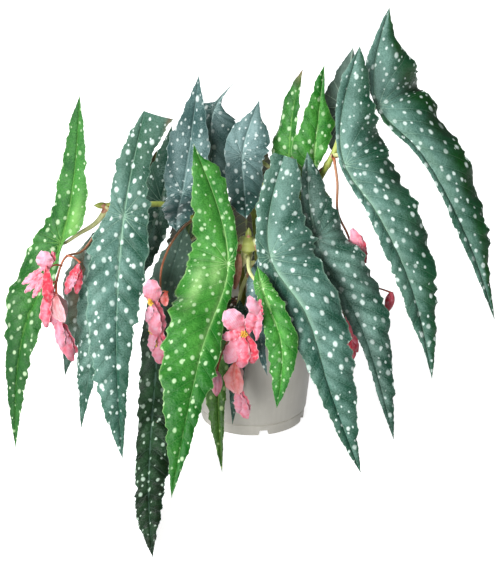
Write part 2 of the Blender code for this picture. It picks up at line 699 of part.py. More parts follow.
def leaf_rows(leaf):
    """Row places as (along, tooth): -1 in a notch of the edge, 1 at a tooth's point, 0 between.

    A tooth leans to the tip: its point is seven tenths of the way from notch to notch.
    """
    ear, blade = lobe_lengths(leaf)
    rows = []
    for start, end, length in ((-1.0, -0.06, ear), (0.06, 1.0, blade)):
        spacing = TOOTH_LENGTH if length > SHORT_LOBE else 2 * TOOTH_LENGTH
        teeth = max(1, round(length * (end - start) / spacing))
        step = (end - start) / teeth
        for k in range(teeth):
            rows += [(start + k * step, -1), (start + (k + 0.7) * step, 1)]
    rows += [(-0.06, 0), (0.0, 0), (1.0, 0)]
    return sorted(rows)


def leaf_surface(leaf):
    """Points of a leaf's middle surface as rows across it, from one edge to the other.

    A point lies its half width to the side of the midrib and is lifted along the normal by the
    fold, less the droop of the edge, plus a wave that runs down the blade.
    """
    outline, fold = LEAVES[leaf][1:3]
    along, kind = np.array(leaf_rows(leaf)).T
    tooth = 1 + kind * TOOTH_DEPTH
    middle, normal, side, at = leaf_frame(leaf, along)
    table = np.array(outline, float)
    left = np.maximum(np.interp(along, table[:, 0], table[:, 1]) * tooth, LEAST_HALF_WIDTH)
    right = np.maximum(np.interp(along, table[:, 0], table[:, 2]) * tooth, LEAST_HALF_WIDTH)
    width = (table[:, 1] + table[:, 2]).max()
    phase = sum(ord(letter) for letter in leaf) % 7
    if right.sum() > left.sum():
        lines = (-left, 0 * left, 0.5 * right, right)
    else:
        lines = (-left, -0.5 * left, 0 * left, right)
    columns = []
    for across in lines:
        reach = np.abs(across)
        lift = fold * reach - 2 * EDGE_DROOP * reach**2 / width
        wave = np.sin(2 * math.pi * at / WAVE_LENGTH + phase + np.sign(across))
        lift = lift + WAVE_HEIGHT * (reach / (0.6 * width)) ** 2 * wave
        columns.append(middle + side * across[:, None] + normal * lift[:, None])
    return np.stack(columns, axis=1)


def build_leaf(leaf):
    """A thin closed blade: the surface split into triangles and thickened both ways."""
    obj = thick_sheet(leaf, leaf_surface(leaf), BLADE)
    return finish(obj, LEAVES[leaf][0], 0.45, 60)


def thick_sheet(name, grid, thickness):
    """A grid of points as triangles, with a thickness given equally to both sides.

    A grid whose first and last columns are the same points closes on itself.
    """
    grid = np.asarray(grid, float)
    round_sheet = np.allclose(grid[:, 0], grid[:, -1])
    if round_sheet:
        grid = grid[:, :-1]
    rows, columns, _ = grid.shape
    faces = []
    for r in range(rows - 1):
        for c in range(columns if round_sheet else columns - 1):
            a, b = r * columns + c, r * columns + (c + 1) % columns
            faces += [(a, a + columns, b + columns), (a, b + columns, b)]
    obj = mesh_object(name, grid.reshape(-1, 3), faces)
    skin = obj.modifiers.new("thickness", "SOLIDIFY")
    skin.thickness = thickness * MM
    skin.offset = 0.0
    apply_modifiers(obj)
    return obj


def stalk_route(leaf, route):
    """A leaf stalk's points: from the cane to the leaf's back, met at a right angle."""
    middle, normal, _, _ = leaf_frame(leaf, (0.0,))
    back = middle[0] - normal[0] * (BLADE / 2 + GAP + 0.5)
    return (*route, back - normal[0] * STALK_END, back)


def bunch_stub(bunch, cane_route):
    """The short foot of a bunch's stalk: from the cane's middle to where the stalk starts."""
    stalk = BUNCHES[bunch][0]
    ahead = unit(np.subtract(stalk[1], stalk[0]))
    end = np.asarray(stalk[0], float)
    line, _ = smooth_curve(cane_route, np.linspace(0, curve_length(cane_route), 200))
    start = line[np.linalg.norm(line - (end - 4 * ahead), axis=1).argmin()]
    route = (start, end - 3 * ahead, end)
    return tube("stub", route, lambda share: np.full_like(share, PEDUNCLE_RADIUS), 5, 4.0)


def build_cane(cane):
    """A jointed cane with its leaf stalks, the feet of its flower stalks and its end bud."""
    route, stalks, bunches = CANES[cane]
    length = curve_length(route)

    def cane_radius(share):
        plain = CANE_FOOT_RADIUS + (CANE_TIP_RADIUS - CANE_FOOT_RADIUS) * share
        ring = np.cos(share * length / NODE_SPACING * 2 * math.pi) ** 8
        above = np.clip((share * length - 70) / 20, 0, 1)
        return plain * (1 + (NODE_SWELL - 1) * ring * above)

    def stalk_radius(share):
        return STALK_RADIUS + (STALK_TIP_RADIUS - STALK_RADIUS) * share

    pieces = [tube(cane, route, cane_radius, CANE_SIDES, CANE_STEP)]
    for leaf, points in stalks:
        whole = stalk_route(leaf, points)
        step = curve_length(whole) / max(4, len(whole))
        pieces.append(tube("stalk", whole, stalk_radius, STALK_SIDES, step))
    pieces += [bunch_stub(bunch, route) for bunch in bunches]
    pieces.append(spindle(route[-1], np.subtract(route[-1], route[-2]), SHOOT_LENGTH, SHOOT_WIDTH))
    return finish(joined(cane, pieces), "cane_green", 0.5, 60)


def spindle(middle, along, length, width):
    """A small closed bud or boss: a five-sided spindle."""
    along = unit(along)
    start = np.asarray(middle, float) - along * length / 2
    route = [start + along * length * share for share in (0.0, 0.5, 1.0)]

    def radius(share):
        return width / 2 * np.sqrt(np.clip(1 - (2 * share - 1) ** 2, 0.05, 1))

    return tube("bud", route, radius, 5, length / 3)


def across_of(direction):
    direction = unit(direction)
    helper = np.array((0.0, 0.0, 1.0)) if abs(direction[2]) < 0.7 else np.array((1.0, 0.0, 0.0))
    first = unit(np.cross(helper, direction))
    return first, np.cross(direction, first)


def tepal_cup(foot, facing, rows, lengths, valley):
    """Joined tepals as one thin cup round its facing direction, as a grid closed on itself.

    rows holds, from the foot out, the shares of a tepal's length that the cup goes outwards
    and forwards. lengths holds the tepals' lengths, and valley is the share of its length that
    the cup has between two of them.
    """
    first, second = across_of(facing)
    sector = 2 * math.pi / len(lengths)
    columns = []
    for k, length in enumerate(lengths):
        between = valley * (length + lengths[(k + 1) % len(lengths)]) / 2
        columns.append(((k - TEPAL_SHOULDER) * sector, 0.88 * length))
        columns.append((k * sector, length))
        columns.append(((k + TEPAL_SHOULDER) * sector, 0.88 * length))
        columns.append(((k + 0.5) * sector, between))
    grid = []
    for out, forward in rows:
        ring = []
        for turn, reach in columns:
            way = first * math.cos(turn) + second * math.sin(turn)
            ring.append(foot + facing * forward * reach + way * (CUP_FOOT + out * reach))
        grid.append([*ring, ring[0]])
    return np.array(grid)


def open_flower(middle, facing, size):
    """Two broad and two narrow tepals in a dish round a small boss of stamens."""
    facing = unit(facing)
    foot = np.asarray(middle, float) - facing * 2.0
    broad, narrow = size * 0.50, size * 0.38
    grid = tepal_cup(foot, facing, OPEN_ROWS, (narrow, broad, narrow, broad), 0.55)
    return [spindle(foot, facing, 8.0, 6.0), thick_sheet("tepals", grid, PETAL)], foot - facing * 2.5


def winged_ovary(top, down, length):
    """A closed three-winged pod: a six-sided tube with every other corner far out."""
    first, second = across_of(down)
    points = []
    for share, reach in ((0.0, 0.35), (0.45, 1.0), (1.0, 0.6)):
        for k in range(6):
            turn = math.pi * k / 3 + 0.5
            out = first * math.cos(turn) + second * math.sin(turn)
            radius = length * 0.42 * reach if k % 2 == 0 else 1.5
            points.append(top + down * length * share + out * radius)
    faces = [tuple(range(6))[::-1], tuple(range(12, 18))]
    for ring in range(2):
        for k in range(6):
            a, b = ring * 6 + k, ring * 6 + (k + 1) % 6
            faces.append((a, b, b + 6, a + 6))
    return mesh_object("ovary", points, faces)


def bell_flower(top, down, size, splay=0.10):
    """A hanging flower: a three-winged ovary over two broad tepals that are nearly closed."""
    down = unit(down)
    top = np.asarray(top, float)
    ovary = size * 0.3
    foot = top + down * (ovary - 2.0)
    whole = size * 0.72
    rows = ((0, 0), (0.12 + splay, 0.5), (splay, 1.0))
    grid = tepal_cup(foot, down, rows, (whole, whole * 0.92), 0.70)
    return [winged_ovary(top, down, ovary), thick_sheet("tepals", grid, PETAL)], top + down


def bud_flower(middle, along, size):
    along = unit(along)
    return [spindle(middle, along, size, size * 0.62)], np.asarray(middle, float) - along * size * 0.35


def peduncle_radius(share):
    return PEDUNCLE_RADIUS - 0.4 * share


def pedicel_radius(share):
    return np.full_like(share, PEDICEL_RADIUS)


def pedicel(line, tie):
    """A flower's own thin stalk, from the nearest point of the bunch's stalk, sagging a little."""
    distance = np.linalg.norm(line - tie, axis=1)
    join = line[distance.argmin()]
    hang = (join + tie) / 2 + (0, 0, 0.12 * distance.min())
    route = (join - unit(hang - join), hang, tie + unit(tie - hang) * 1.5)
    return tube("pedicel", route, pedicel_radius, 4, 40.0)


def build_bunch(bunch):
    """A bunch's stalk with its flowers, each one tied to the outer two thirds of the stalk."""
    route, flowers = BUNCHES[bunch]
    start = np.asarray(route[0], float) + unit(np.subtract(route[1], route[0])) * 1.4 * GAP
    route = (start, *route[1:])
    rings = round(curve_length(route) / STALK_STEP) + 1
    line, _ = smooth_curve(route, np.linspace(0, curve_length(route), rings))
    pieces = [tube(bunch, route, peduncle_radius, 5, STALK_STEP)]
    for kind, spot, way, size in flowers:
        made, tie = FLOWER_KINDS[kind](spot, way, size)
        pieces.append(pedicel(line[math.ceil(rings / 3) :], tie))
        pieces += made
    return finish(joined(bunch, pieces), "flower_pink", 0.5, 60)


FLOWER_KINDS = {
    "open": open_flower,
    "bell": bell_flower,
    "fingers": lambda spot, way, size: bell_flower(spot, way, size, 0.34),
    "bud": bud_flower,
}


def main():
    clear_scene()
    build_pot()
    build_soil()
    for leaf in LEAVES:
        build_leaf(leaf)
    for cane in CANES:
        build_cane(cane)
    for bunch in BUNCHES:
        build_bunch(bunch)


main()
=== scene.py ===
"""A potted angel wing begonia, dressed over its solids: spotted leaves with veins, jointed canes,
hanging flowers, potting mix and a plastic nursery pot.

Tables and shapes are in millimetres, and a mesh is turned to metres when it is made. The origin
is the middle of the pot's underside, +Z is up and -Y is the front.
"""

import math

import bpy
import numpy as np
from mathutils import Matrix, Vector


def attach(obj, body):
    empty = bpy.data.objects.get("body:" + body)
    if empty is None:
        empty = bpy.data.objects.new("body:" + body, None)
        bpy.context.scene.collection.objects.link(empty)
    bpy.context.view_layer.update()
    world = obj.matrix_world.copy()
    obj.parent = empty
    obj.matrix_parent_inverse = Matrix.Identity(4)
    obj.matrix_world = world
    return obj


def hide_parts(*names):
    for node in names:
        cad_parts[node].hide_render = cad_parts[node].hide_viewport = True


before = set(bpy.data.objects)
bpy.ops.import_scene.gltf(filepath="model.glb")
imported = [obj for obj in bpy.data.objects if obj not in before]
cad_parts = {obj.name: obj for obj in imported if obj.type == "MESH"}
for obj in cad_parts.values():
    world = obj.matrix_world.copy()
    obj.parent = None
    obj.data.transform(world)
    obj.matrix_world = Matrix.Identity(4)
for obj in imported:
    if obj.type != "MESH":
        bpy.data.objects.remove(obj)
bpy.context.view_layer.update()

MM = 0.001
TURN = 2 * math.pi
X, Y, Z = np.eye(3)

# Camera and floor, in metres, but for the lens and its sensor, in millimetres. The camera looks
# down at the plant from the front.
CAMERA_TARGET = Vector((-0.0027, 0.0, 0.141))
CAMERA_DISTANCE = 1.4
CAMERA_RISE = math.radians(20)
CAMERA_LENS = 92.98
SENSOR = 36.0
FLOOR_REACH = 14.0

# Pot, from the floor up
FOOT_RADIUS = 51.0
FOOT_HEIGHT = 11.5
FOOT_WALL = 4.5
BODY_LOW_RADIUS = 53.0
BODY_TOP_RADIUS = 62.6
BAND_RADIUS = 65.0
BAND_HEIGHT = 14.0
POT_HEIGHT = 118.0
POT_WALL = 1.6
FLOOR_TOP = 6.0
FLOOR_UNDERSIDE = 3.5
PAD_RADIUS = 20.0
FLOOR_RADIUS = 47.4
INSIDE_LOW_RADIUS = 50.4
POT_SIDES = 144
POT_SHARP_ANGLE = 35
NOTCH_COUNT = 6
NOTCH_WIDTH = 11.0
NOTCH_HEIGHT = 5.0
NOTCH_INSIDE = 44.0
NOTCH_OUTSIDE = 55.0
NOTCH_TURN = math.radians(-78)
DRAIN_RADIUS = 3.5
DRAIN_RING = 34.0

# Potting mix
SOIL_TOP = 105.0
SOIL_BUMP = 2.6
SOIL_SIDES = 120
SOIL_RINGS = 46
SOIL_GAP = 0.3
SOIL_CLEARANCE = 1.0
CHIP_COUNT = 420
CHIP_MARGIN = 3.5
CHIP_SIZE = (2.6, 1.3, 0.7)
PERLITE_SIZE = (1.2, 1.1, 0.9)

# Canes and stalks. A step is the length from one ring of a stem to the next.
CANE_FOOT_RADIUS = 4.2
CANE_TIP_RADIUS = 2.3
CANE_SIDES = 20
CANE_STEP = 1.3
STEM_STEP = 1.4
SHORT_STEP = 0.8
NODE_SPACING = 34.0
NODE_SWELL = 1.28
STALK_RADIUS = 2.1
STALK_TIP_RADIUS = 1.2
STALK_END = 4.0
STALK_GAP = 0.3
LEAF_STALK_SIDES = 16
SHOOT_LENGTH = 13.0
SHOOT_WIDTH = 5.6
BUD_SIDES = 14
BUD_SCALE_HALF = 1.8
STIPULE_LENGTH = 8.5
STIPULE_HALF = 2.3
SCALE_THICKNESS = 0.35
SHEATH_THICKNESS = 0.4

# Leaves
SOLID_BLADE_THICKNESS = 0.9
BLADE_THICKNESS = 0.6
ROW_STEP = 1.45
LEAST_ROWS = 50
MOST_ROWS = 210
HALF_COLUMNS = 12
LOBE_LENGTH = 30.0
LOBE_DEPTH = 0.06
SHORT_LOBE = 60.0
STEP_LENGTH = 12.5
STEP_DEPTH = 3.0
TOOTH_LENGTH = 4.7
TOOTH_DEPTH = 0.7
WAVE_LENGTH = 62.0
WAVE_HEIGHT = 3.2
RIPPLE_LENGTH = 19.0
RIPPLE_HEIGHT = 0.7
EDGE_DROOP = 0.16
FULLNESS = 0.28
PUCKER = 1.2
VEIN_SPACING = 17.0
VEIN_LEAN = 1.05
FAN_VEINS = 5
VEINED_WIDTH = 60.0
VEIN_HALF_WIDTH = 0.42
LEAST_HALF_WIDTH = 0.25

# Flowers
PEDUNCLE_RADIUS = 1.3
FLOWER_STALK_SIDES = 12
PEDICEL_RADIUS = 0.9
PEDICEL_SIDES = 10
PEDICEL_STEP = 1.2
TIE_SPACING = 13.0
PETAL_THICKNESS = 0.55
BROAD_TEPAL = 4.6

# A stamen's heights and radii, and the length and half width of each tepal of a bell flower, as
# shares of the room for them
STAMEN_PROFILE = (
    (0.3, 0.22), (2.0, 0.20), (2.5, 0.50), (3.3, 0.64), (4.2, 0.55), (4.7, 0.15),
)
BELL_TEPALS = ((1.0, 0.20), (0.90, 0.14), (0.94, 0.19), (0.78, 0.13), (0.84, 0.15))

# Half widths of a plain leaf as shares of its whole width, from the ear's tip (-1) past the
# leaf stalk (0) to the blade's tip (1), on the narrow side and on the wide side.
PLAIN_OUTLINE = (
    (-1.00, 0.000, 0.000), (-0.80, 0.100, 0.150), (-0.55, 0.200, 0.330), (-0.30, 0.270, 0.500),
    (-0.10, 0.250, 0.620), (0.00, 0.080, 0.650), (0.06, 0.270, 0.660), (0.16, 0.350, 0.650),
    (0.30, 0.350, 0.600), (0.45, 0.320, 0.520), (0.60, 0.260, 0.420), (0.75, 0.180, 0.270),
    (0.88, 0.090, 0.130), (1.00, 0.000, 0.000),
)

# Outlines of the big leaves, each as (place along, left half, right half), as seen from the
# upper face with the tip down.
FAR_LEFT = (
    (-1, 0, 0), (-0.8, 8, 6), (-0.5, 13, 12), (-0.2, 17, 17), (-0.1, 20, 13), (-0.04, 23, 5),
    (0, 25, 2.5), (0.04, 27, 2.5), (0.1, 30, 6), (0.25, 28, 11), (0.4, 21, 15), (0.55, 13, 13),
    (0.8, 6, 7), (1, 0, 0),
)
LEFT_FRONT = (
    (-1, 1, 27), (-0.975, 2, 26), (-0.9, 4, 22), (-0.75, 9, 18), (-0.55, 13, 15), (-0.3, 15, 17),
    (-0.1, 13, 21),
    (0, 16, 22), (0.1, 26, 25), (0.3, 27, 22), (0.5, 24, 15), (0.7, 18, 9), (0.85, 10, 5), (1, 0, 0),
)
FRONT_LOW = (
    (-1, 0, 0), (-0.75, 10, 14), (-0.4, 18, 12), (0, 17, 14), (0.15, 16, 18), (0.4, 13, 19),
    (0.6, 12, 17), (0.75, 12, 13), (0.9, 6, 6), (1, 0, 0),
)
FRONT_LEFT = (
    (-1, 0, 0), (-0.9, 6, 2), (-0.75, 14, 14), (-0.5, 24, 12), (-0.25, 29, 11), (0, 37, 7),
    (0.15, 41, 8), (0.25, 39, 9), (0.35, 35, 15), (0.5, 32, 17), (0.65, 22, 11), (0.8, 12, 8),
    (0.9, 6, 4), (1, 0, 0),
)
FRONT_RIGHT = (
    (-1, 10, 12), (-0.96, 12, 15), (-0.9, 10, 18), (-0.7, 12, 24), (-0.45, 12, 32),
    (-0.25, 11, 41), (0, 12, 43),
    (0.1, 18, 39), (0.25, 21, 34), (0.4, 19, 31), (0.55, 13, 27), (0.7, 9, 20), (0.85, 6, 9), (1, 0, 0),
)
RIGHT_SIDE = (
    (-1, 0, 0), (-0.75, 6, 11), (-0.5, 8, 18), (-0.2, 9, 26), (0, 8, 29), (0.15, 10, 35),
    (0.3, 10, 34), (0.45, 9, 28), (0.6, 6, 20), (0.8, 5, 10), (1, 0, 0),
)
UPPER_RIGHT = (
    (-1, 0, 0), (-0.9, 3, 9), (-0.7, 8, 21), (-0.45, 6, 33), (-0.2, 4, 42), (0, 5, 44),
    (0.1, 6, 43), (0.25, 9, 37), (0.4, 12, 34), (0.55, 12, 27), (0.7, 11, 17), (0.85, 4, 9), (1, 0, 0),
)
TOP_RIGHT = (
    (-1, 0, 0), (-0.9, 3, 5), (-0.75, 5, 14), (-0.6, 8, 32), (-0.45, 9, 41), (-0.3, 8, 47),
    (-0.1, 4, 51), (0, 4, 53), (0.1, 6, 50), (0.2, 6, 43), (0.3, 5, 40), (0.45, 6, 34),
    (0.6, 8, 25), (0.7, 7, 19), (0.8, 5, 9), (0.9, 3, 4), (1, 0, 0),
)
NEEDLE_EAR = (
    (-1, 0, 0), (-0.6, 1, 1), (-0.3, 2, 3), (-0.1, 8, 12), (-0.04, 13, 21), (0, 14, 23),
    (0.1, 16, 24), (0.3, 16, 24), (0.55, 14, 20), (0.8, 8, 12), (1, 0, 0),
)
TOP_LEFT = (
    (-1, 0, 0), (-0.75, 10, 11), (-0.45, 22, 19), (-0.1, 18, 20), (0, 15, 19), (0.15, 15, 18),
    (0.4, 14, 17), (0.7, 9, 12), (1, 0, 0),
)
TOP_MIDDLE = (
    (-1, 0, 0), (-0.8, 3, 6), (-0.45, 14, 21), (-0.1, 17, 22), (0.1, 16, 20), (0.4, 16, 17),
    (0.7, 13, 12), (0.85, 9, 6), (1, 0, 0),
)
UPRIGHT = (
    (-1, 0, 0), (0, 3, 7), (0.05, 5, 15), (0.15, 10, 22), (0.3, 13, 18), (0.45, 16, 15),
    (0.55, 10, 13), (0.7, 4, 9), (0.85, 2, 6), (1, 0, 0),
)
POT_FRONT = (
    (-1, 0, 0), (-0.3, 6, 7), (0, 7, 9), (0.12, 8, 12), (0.35, 12, 14), (0.5, 13, 15),
    (0.65, 11, 11), (0.8, 8, 7), (1, 0, 0),
)


def plain_leaf(width, wide):
    """The plain outline at a width, with its wide half on the side that wide names."""
    rows = []
    for along, narrow_share, wide_share in PLAIN_OUTLINE:
        left, right = narrow_share * width, wide_share * width
        rows.append((along, right, left) if wide == "left" else (along, left, right))
    return tuple(rows)


# Each leaf: colour, outline, fold of its two halves, the way it faces, and its spine, which is
# the ear's tip, the leaf stalk, points down the midrib and the blade's tip.
LEAVES = {
    "leaf_far_left": (
        "mid_green", FAR_LEFT, 0.20, (-0.30, -0.90, 0.35),
        ((-154, -52, 334), (-175, -62, 200), (-207, -98, 129), (-219, -112, 18)),
    ),
    "leaf_left": (
        "blue_green", LEFT_FRONT, 0.12, (0.0, -0.92, 0.40),
        ((-95, -72, 325), (-115, -85, 233), (-120, -138, 145), (-116, -160, 31)),
    ),
    "leaf_left_under": (
        "dark_green", plain_leaf(34, "left"), 0.20, (-0.45, -0.80, 0.30),
        ((-132, -38, 223), (-138, -52, 182), (-148, -80, 105), (-160, -96, 30)),
    ),
    "leaf_left_inner": (
        "dark_green", plain_leaf(40, "left"), 0.15, (-0.55, -0.70, 0.30),
        ((-148, -22, 196), (-153, -34, 172), (-163, -58, 123), (-176, -72, 73)),
    ),
    "leaf_left_back": (
        "dark_green", plain_leaf(44, "left"), 0.15, (-0.35, -0.80, 0.30),
        ((-77, 24, 288), (-87, 12, 216), (-118, 8, 142), (-136, 6, 74)),
    ),
    "leaf_top_left": (
        "grey_green", TOP_LEFT, 0.10, (-0.10, -0.70, 0.70),
        ((-50, 5, 340), (-66, -15, 233), (-69, -50, 226), (-68, -88, 220)),
    ),
    "leaf_top_left_rear": (
        "grey_green", NEEDLE_EAR, 0.14, (0.25, -0.80, 0.50),
        ((-19, 50, 323), (-37, 34, 301), (-40, 28, 254), (-40, 24, 203)),
    ),
    "leaf_top": (
        "grey_green", TOP_MIDDLE, 0.10, (0.05, -0.75, 0.65),
        ((6, 15, 315), (-10, -5, 266), (-8, -30, 241), (-6, -60, 223)),
    ),
    "leaf_upright_thin": (
        "mid_green", plain_leaf(28, "right"), 0.30, (-0.70, -0.70, 0.0),
        ((33, 9, 250), (34, 7, 262), (38, 16, 307), (46, 20, 343)),
    ),
    "leaf_upright_bright": (
        "bright_green", UPRIGHT, 0.16, (0.05, -0.95, 0.20),
        ((60, -10, 247), (58, -10, 256), (61, 2, 301), (66, 12, 348)),
    ),
    "leaf_front_right": (
        "blue_green", FRONT_RIGHT, 0.14, (0.10, -0.88, 0.45),
        ((28, -50, 279), (16, -75, 191), (48, -112, 149), (68, -142, 90), (96, -160, 17)),
    ),
    "leaf_front_low": (
        "deep_green", FRONT_LOW, 0.12, (-0.20, -0.80, 0.55),
        ((-63, -30, 205), (-82, -70, 142), (-90, -122, 70), (-91, -188, 27), (-82, -285, 6)),
    ),
    "leaf_front_left": (
        "bright_green", FRONT_LEFT, 0.12, (0.0, -0.75, 0.65),
        ((-53, -62, 293), (-23, -80, 186), (-45, -150, 131), (-69, -230, 30)),
    ),
    "leaf_pot_left": (
        "olive_green", plain_leaf(24, "left"), 0.20, (-0.10, -0.90, 0.30),
        ((-25, -56, 163), (-27, -76, 141), (-32, -100, 66), (-28, -142, 8)),
    ),
    "leaf_pot_shade": (
        "dark_green", plain_leaf(20, "right"), 0.20, (0.20, -0.90, 0.30),
        ((-12, -60, 144), (-15, -68, 126), (-18, -76, 66), (-19, -88, 30)),
    ),
    "leaf_right": (
        "dark_green", RIGHT_SIDE, 0.14, (0.22, -0.88, 0.40),
        ((50, -26, 276), (58, -45, 199), (98, -88, 130), (129, -118, 29)),
    ),
    "leaf_upper_right": (
        "blue_green", UPPER_RIGHT, 0.18, (0.20, -0.85, 0.45),
        ((96, -20, 372), (84, -38, 267), (113, -64, 228), (138, -84, 180), (164, -100, 82)),
    ),
    "leaf_top_right": (
        "blue_green", TOP_RIGHT, 0.14, (0.30, -0.80, 0.50),
        ((123, -5, 404), (116, -12, 315), (152, -32, 279), (191, -52, 214), (224, -66, 127)),
    ),
    "leaf_pot_bright": (
        "bright_green", POT_FRONT, 0.14, (-0.05, -0.90, 0.40),
        ((4, -92, 188), (8, -106, 174), (25, -134, 129), (21, -146, 74)),
    ),
    "leaf_pot_pale": (
        "grey_green", plain_leaf(18, "left"), 0.16, (-0.20, -0.90, 0.30),
        ((4, -66, 186), (5, -78, 169), (6, -94, 123), (13, -100, 85)),
    ),
    "leaf_back_upper_right": (
        "grey_green", plain_leaf(42, "right"), 0.14, (0.10, 0.85, 0.35),
        ((94, 38, 360), (92, 40, 300), (107, 46, 250), (128, 52, 196)),
    ),
    "leaf_back_left": (
        "blue_green", plain_leaf(56, "right"), 0.12, (-0.30, 0.86, 0.40),
        ((-32, 62, 262), (-45, 98, 188), (-62, 150, 112), (-72, 182, 24)),
    ),
    "leaf_back_right": (
        "mid_green", plain_leaf(56, "left"), 0.12, (0.25, 0.88, 0.40),
        ((28, 66, 264), (44, 102, 192), (58, 152, 118), (68, 190, 30)),
    ),
    "leaf_back": (
        "blue_green", plain_leaf(58, "left"), 0.12, (0.0, 0.85, 0.50),
        ((-4, 80, 262), (-2, 124, 208), (-6, 184, 138), (0, 226, 44)),
    ),
    "leaf_back_far_left": (
        "dark_green", plain_leaf(48, "right"), 0.16, (-0.70, 0.65, 0.30),
        ((-92, 34, 262), (-108, 54, 200), (-134, 84, 130), (-146, 104, 40)),
    ),
    "leaf_back_far_right": (
        "blue_green", plain_leaf(50, "left"), 0.14, (0.60, 0.75, 0.30),
        ((66, 60, 192), (80, 84, 150), (96, 120, 92), (106, 142, 24)),
    ),
    "leaf_back_low": (
        "olive_green", plain_leaf(44, "left"), 0.14, (-0.60, 0.70, 0.30),
        ((-58, 44, 196), (-70, 62, 150), (-84, 96, 90), (-92, 116, 22)),
    ),
}

# Each cane: its route from the foot of its hole, its leaf stalks, each as the leaf it carries
# and the points between the cane and the leaf's back, and the flower stalks that leave it.
CANES = {
    "cane_left": (
        ((-28, -2, 60), (-28, -2, 108), (-28, -2, 114), (-36, -3, 168), (-55, -7, 206),
         (-80, -16, 222), (-112, -28, 225), (-140, -40, 229)),
        (
            ("leaf_far_left", ((-134, -38, 227), (-144, -44, 214), (-159, -52, 206))),
            ("leaf_left", ((-106, -26, 224), (-110, -48, 228))),
            ("leaf_left_under", ((-128, -34, 226), (-132, -34, 204))),
            ("leaf_left_inner", ((-128, -34, 226), (-138, -16, 212), (-146, -14, 188))),
            ("leaf_left_back", ((-60, -9, 210), (-62, 14, 216), (-74, 26, 220))),
            ("leaf_back_far_left", ((-118, -31, 226), (-124, 0, 230), (-118, 30, 216))),
        ),
        ("flowers_left", "flowers_left_middle"),
    ),
    "cane_front": (
        ((2, -20, 60), (2, -20, 108), (2, -20, 114), (0, -34, 152), (-5, -45, 184), (-4, -48, 204)),
        (
            ("leaf_front_right", ((-4, -46, 192), (6, -54, 198))),
            ("leaf_front_left", ((-4, -46, 192), (-14, -54, 198))),
            ("leaf_pot_left", ((-5, -45, 184), (-14, -58, 174), (-24, -66, 156))),
            ("leaf_pot_shade", ((-2, -38, 165), (-10, -44, 150), (-14, -52, 134))),
            ("leaf_pot_bright", ((-4, -44, 180), (-4, -66, 186), (-2, -90, 180))),
            ("leaf_pot_pale", ((-3, -41, 172), (3, -54, 178))),
        ),
        ("flowers_front",),
    ),
    "cane_top_left": (
        ((-10, 12, 60), (-10, 12, 108), (-10, 12, 114), (-14, 12, 170), (-30, 8, 212), (-44, -1, 238)),
        (
            ("leaf_top_left", ((-38, 4, 228), (-54, 4, 236))),
            ("leaf_front_low", ((-26, 9, 203), (-54, -24, 176), (-74, -44, 158))),
            ("leaf_back_low", ((-18, 11, 185), (-46, 28, 180), (-62, 44, 166))),
        ),
        (),
    ),
    "cane_middle": (
        ((18, 2, 60), (18, 2, 108), (18, 2, 114), (20, 6, 180), (22, 12, 232), (19, 14, 250)),
        (
            ("leaf_top", ((21, 13, 246), (4, 14, 258))),
            ("leaf_top_left_rear", ((22, 11, 222), (0, 36, 236), (-32, 50, 264))),
            ("leaf_upright_thin", ((22, 12, 230), (34, 16, 246))),
        ),
        (),
    ),
    "cane_right": (
        ((34, 8, 60), (34, 8, 108), (34, 8, 114), (42, 8, 180), (58, 2, 232), (74, -4, 266),
         (88, 3, 296), (98, 8, 322)),
        (
            ("leaf_upright_bright", ((68, -1, 254), (62, 2, 248))),
            ("leaf_upper_right", ((74, -4, 266), (80, -16, 270))),
            ("leaf_top_right", ((90, 4, 300), (104, 6, 312))),
            ("leaf_right", ((52, 4, 214), (56, -20, 212))),
            ("leaf_back_upper_right", ((82, 0, 284), (86, 14, 294), (90, 24, 296))),
        ),
        ("flowers_right",),
    ),
    "cane_back": (
        ((6, 34, 60), (6, 34, 108), (6, 34, 114), (4, 52, 162), (0, 68, 200), (-2, 78, 226)),
        (
            ("leaf_back_left", ((0, 68, 200), (-24, 78, 204), (-40, 88, 196))),
            ("leaf_back_right", ((0, 66, 194), (24, 78, 206), (38, 90, 200))),
            ("leaf_back", ((-1, 73, 214), (-1, 98, 222))),
            ("leaf_back_far_right", ((4, 54, 168), (36, 52, 170), (64, 62, 160))),
        ),
        ("flowers_back",),
    ),
}

# Fleshy swellings of a cane: the length up it, the extra radius, which also sets how much paler the
# swelling is painted as painted light, and how long each is below and above its widest place
SWELLINGS = {"cane_front": ((143, 6.5, 13.0, 2.6),), "cane_right": ((232, 1.2, 8.0, 8.0),)}

# Foot radii of the stout leaf stalks, which also set how much paler each is painted as painted light
STALK_RADII = {
    "leaf_front_left": 4.2, "leaf_front_right": 4.6, "leaf_pot_left": 4.2, "leaf_far_left": 2.9,
    "leaf_pot_bright": 2.6,
}

# Big stipules of the front cane's node, two upright and one that hangs: the foot, the way it
# points, its length and its half width. The leaf stalks beside them have none of their own.
SHEATHS = {
    "cane_front": (
        ((-13, -54, 189), (-0.10, -0.25, 1.0), 12.5, 3.2),
        ((4, -54, 189), (0.20, -0.25, 1.0), 12.5, 3.2),
        ((-13, -63, 190), (-0.11, -0.21, -0.97), 33.0, 4.4),
    ),
}
UNSHEATHED = ("leaf_front_left", "leaf_front_right", "leaf_pot_bright")

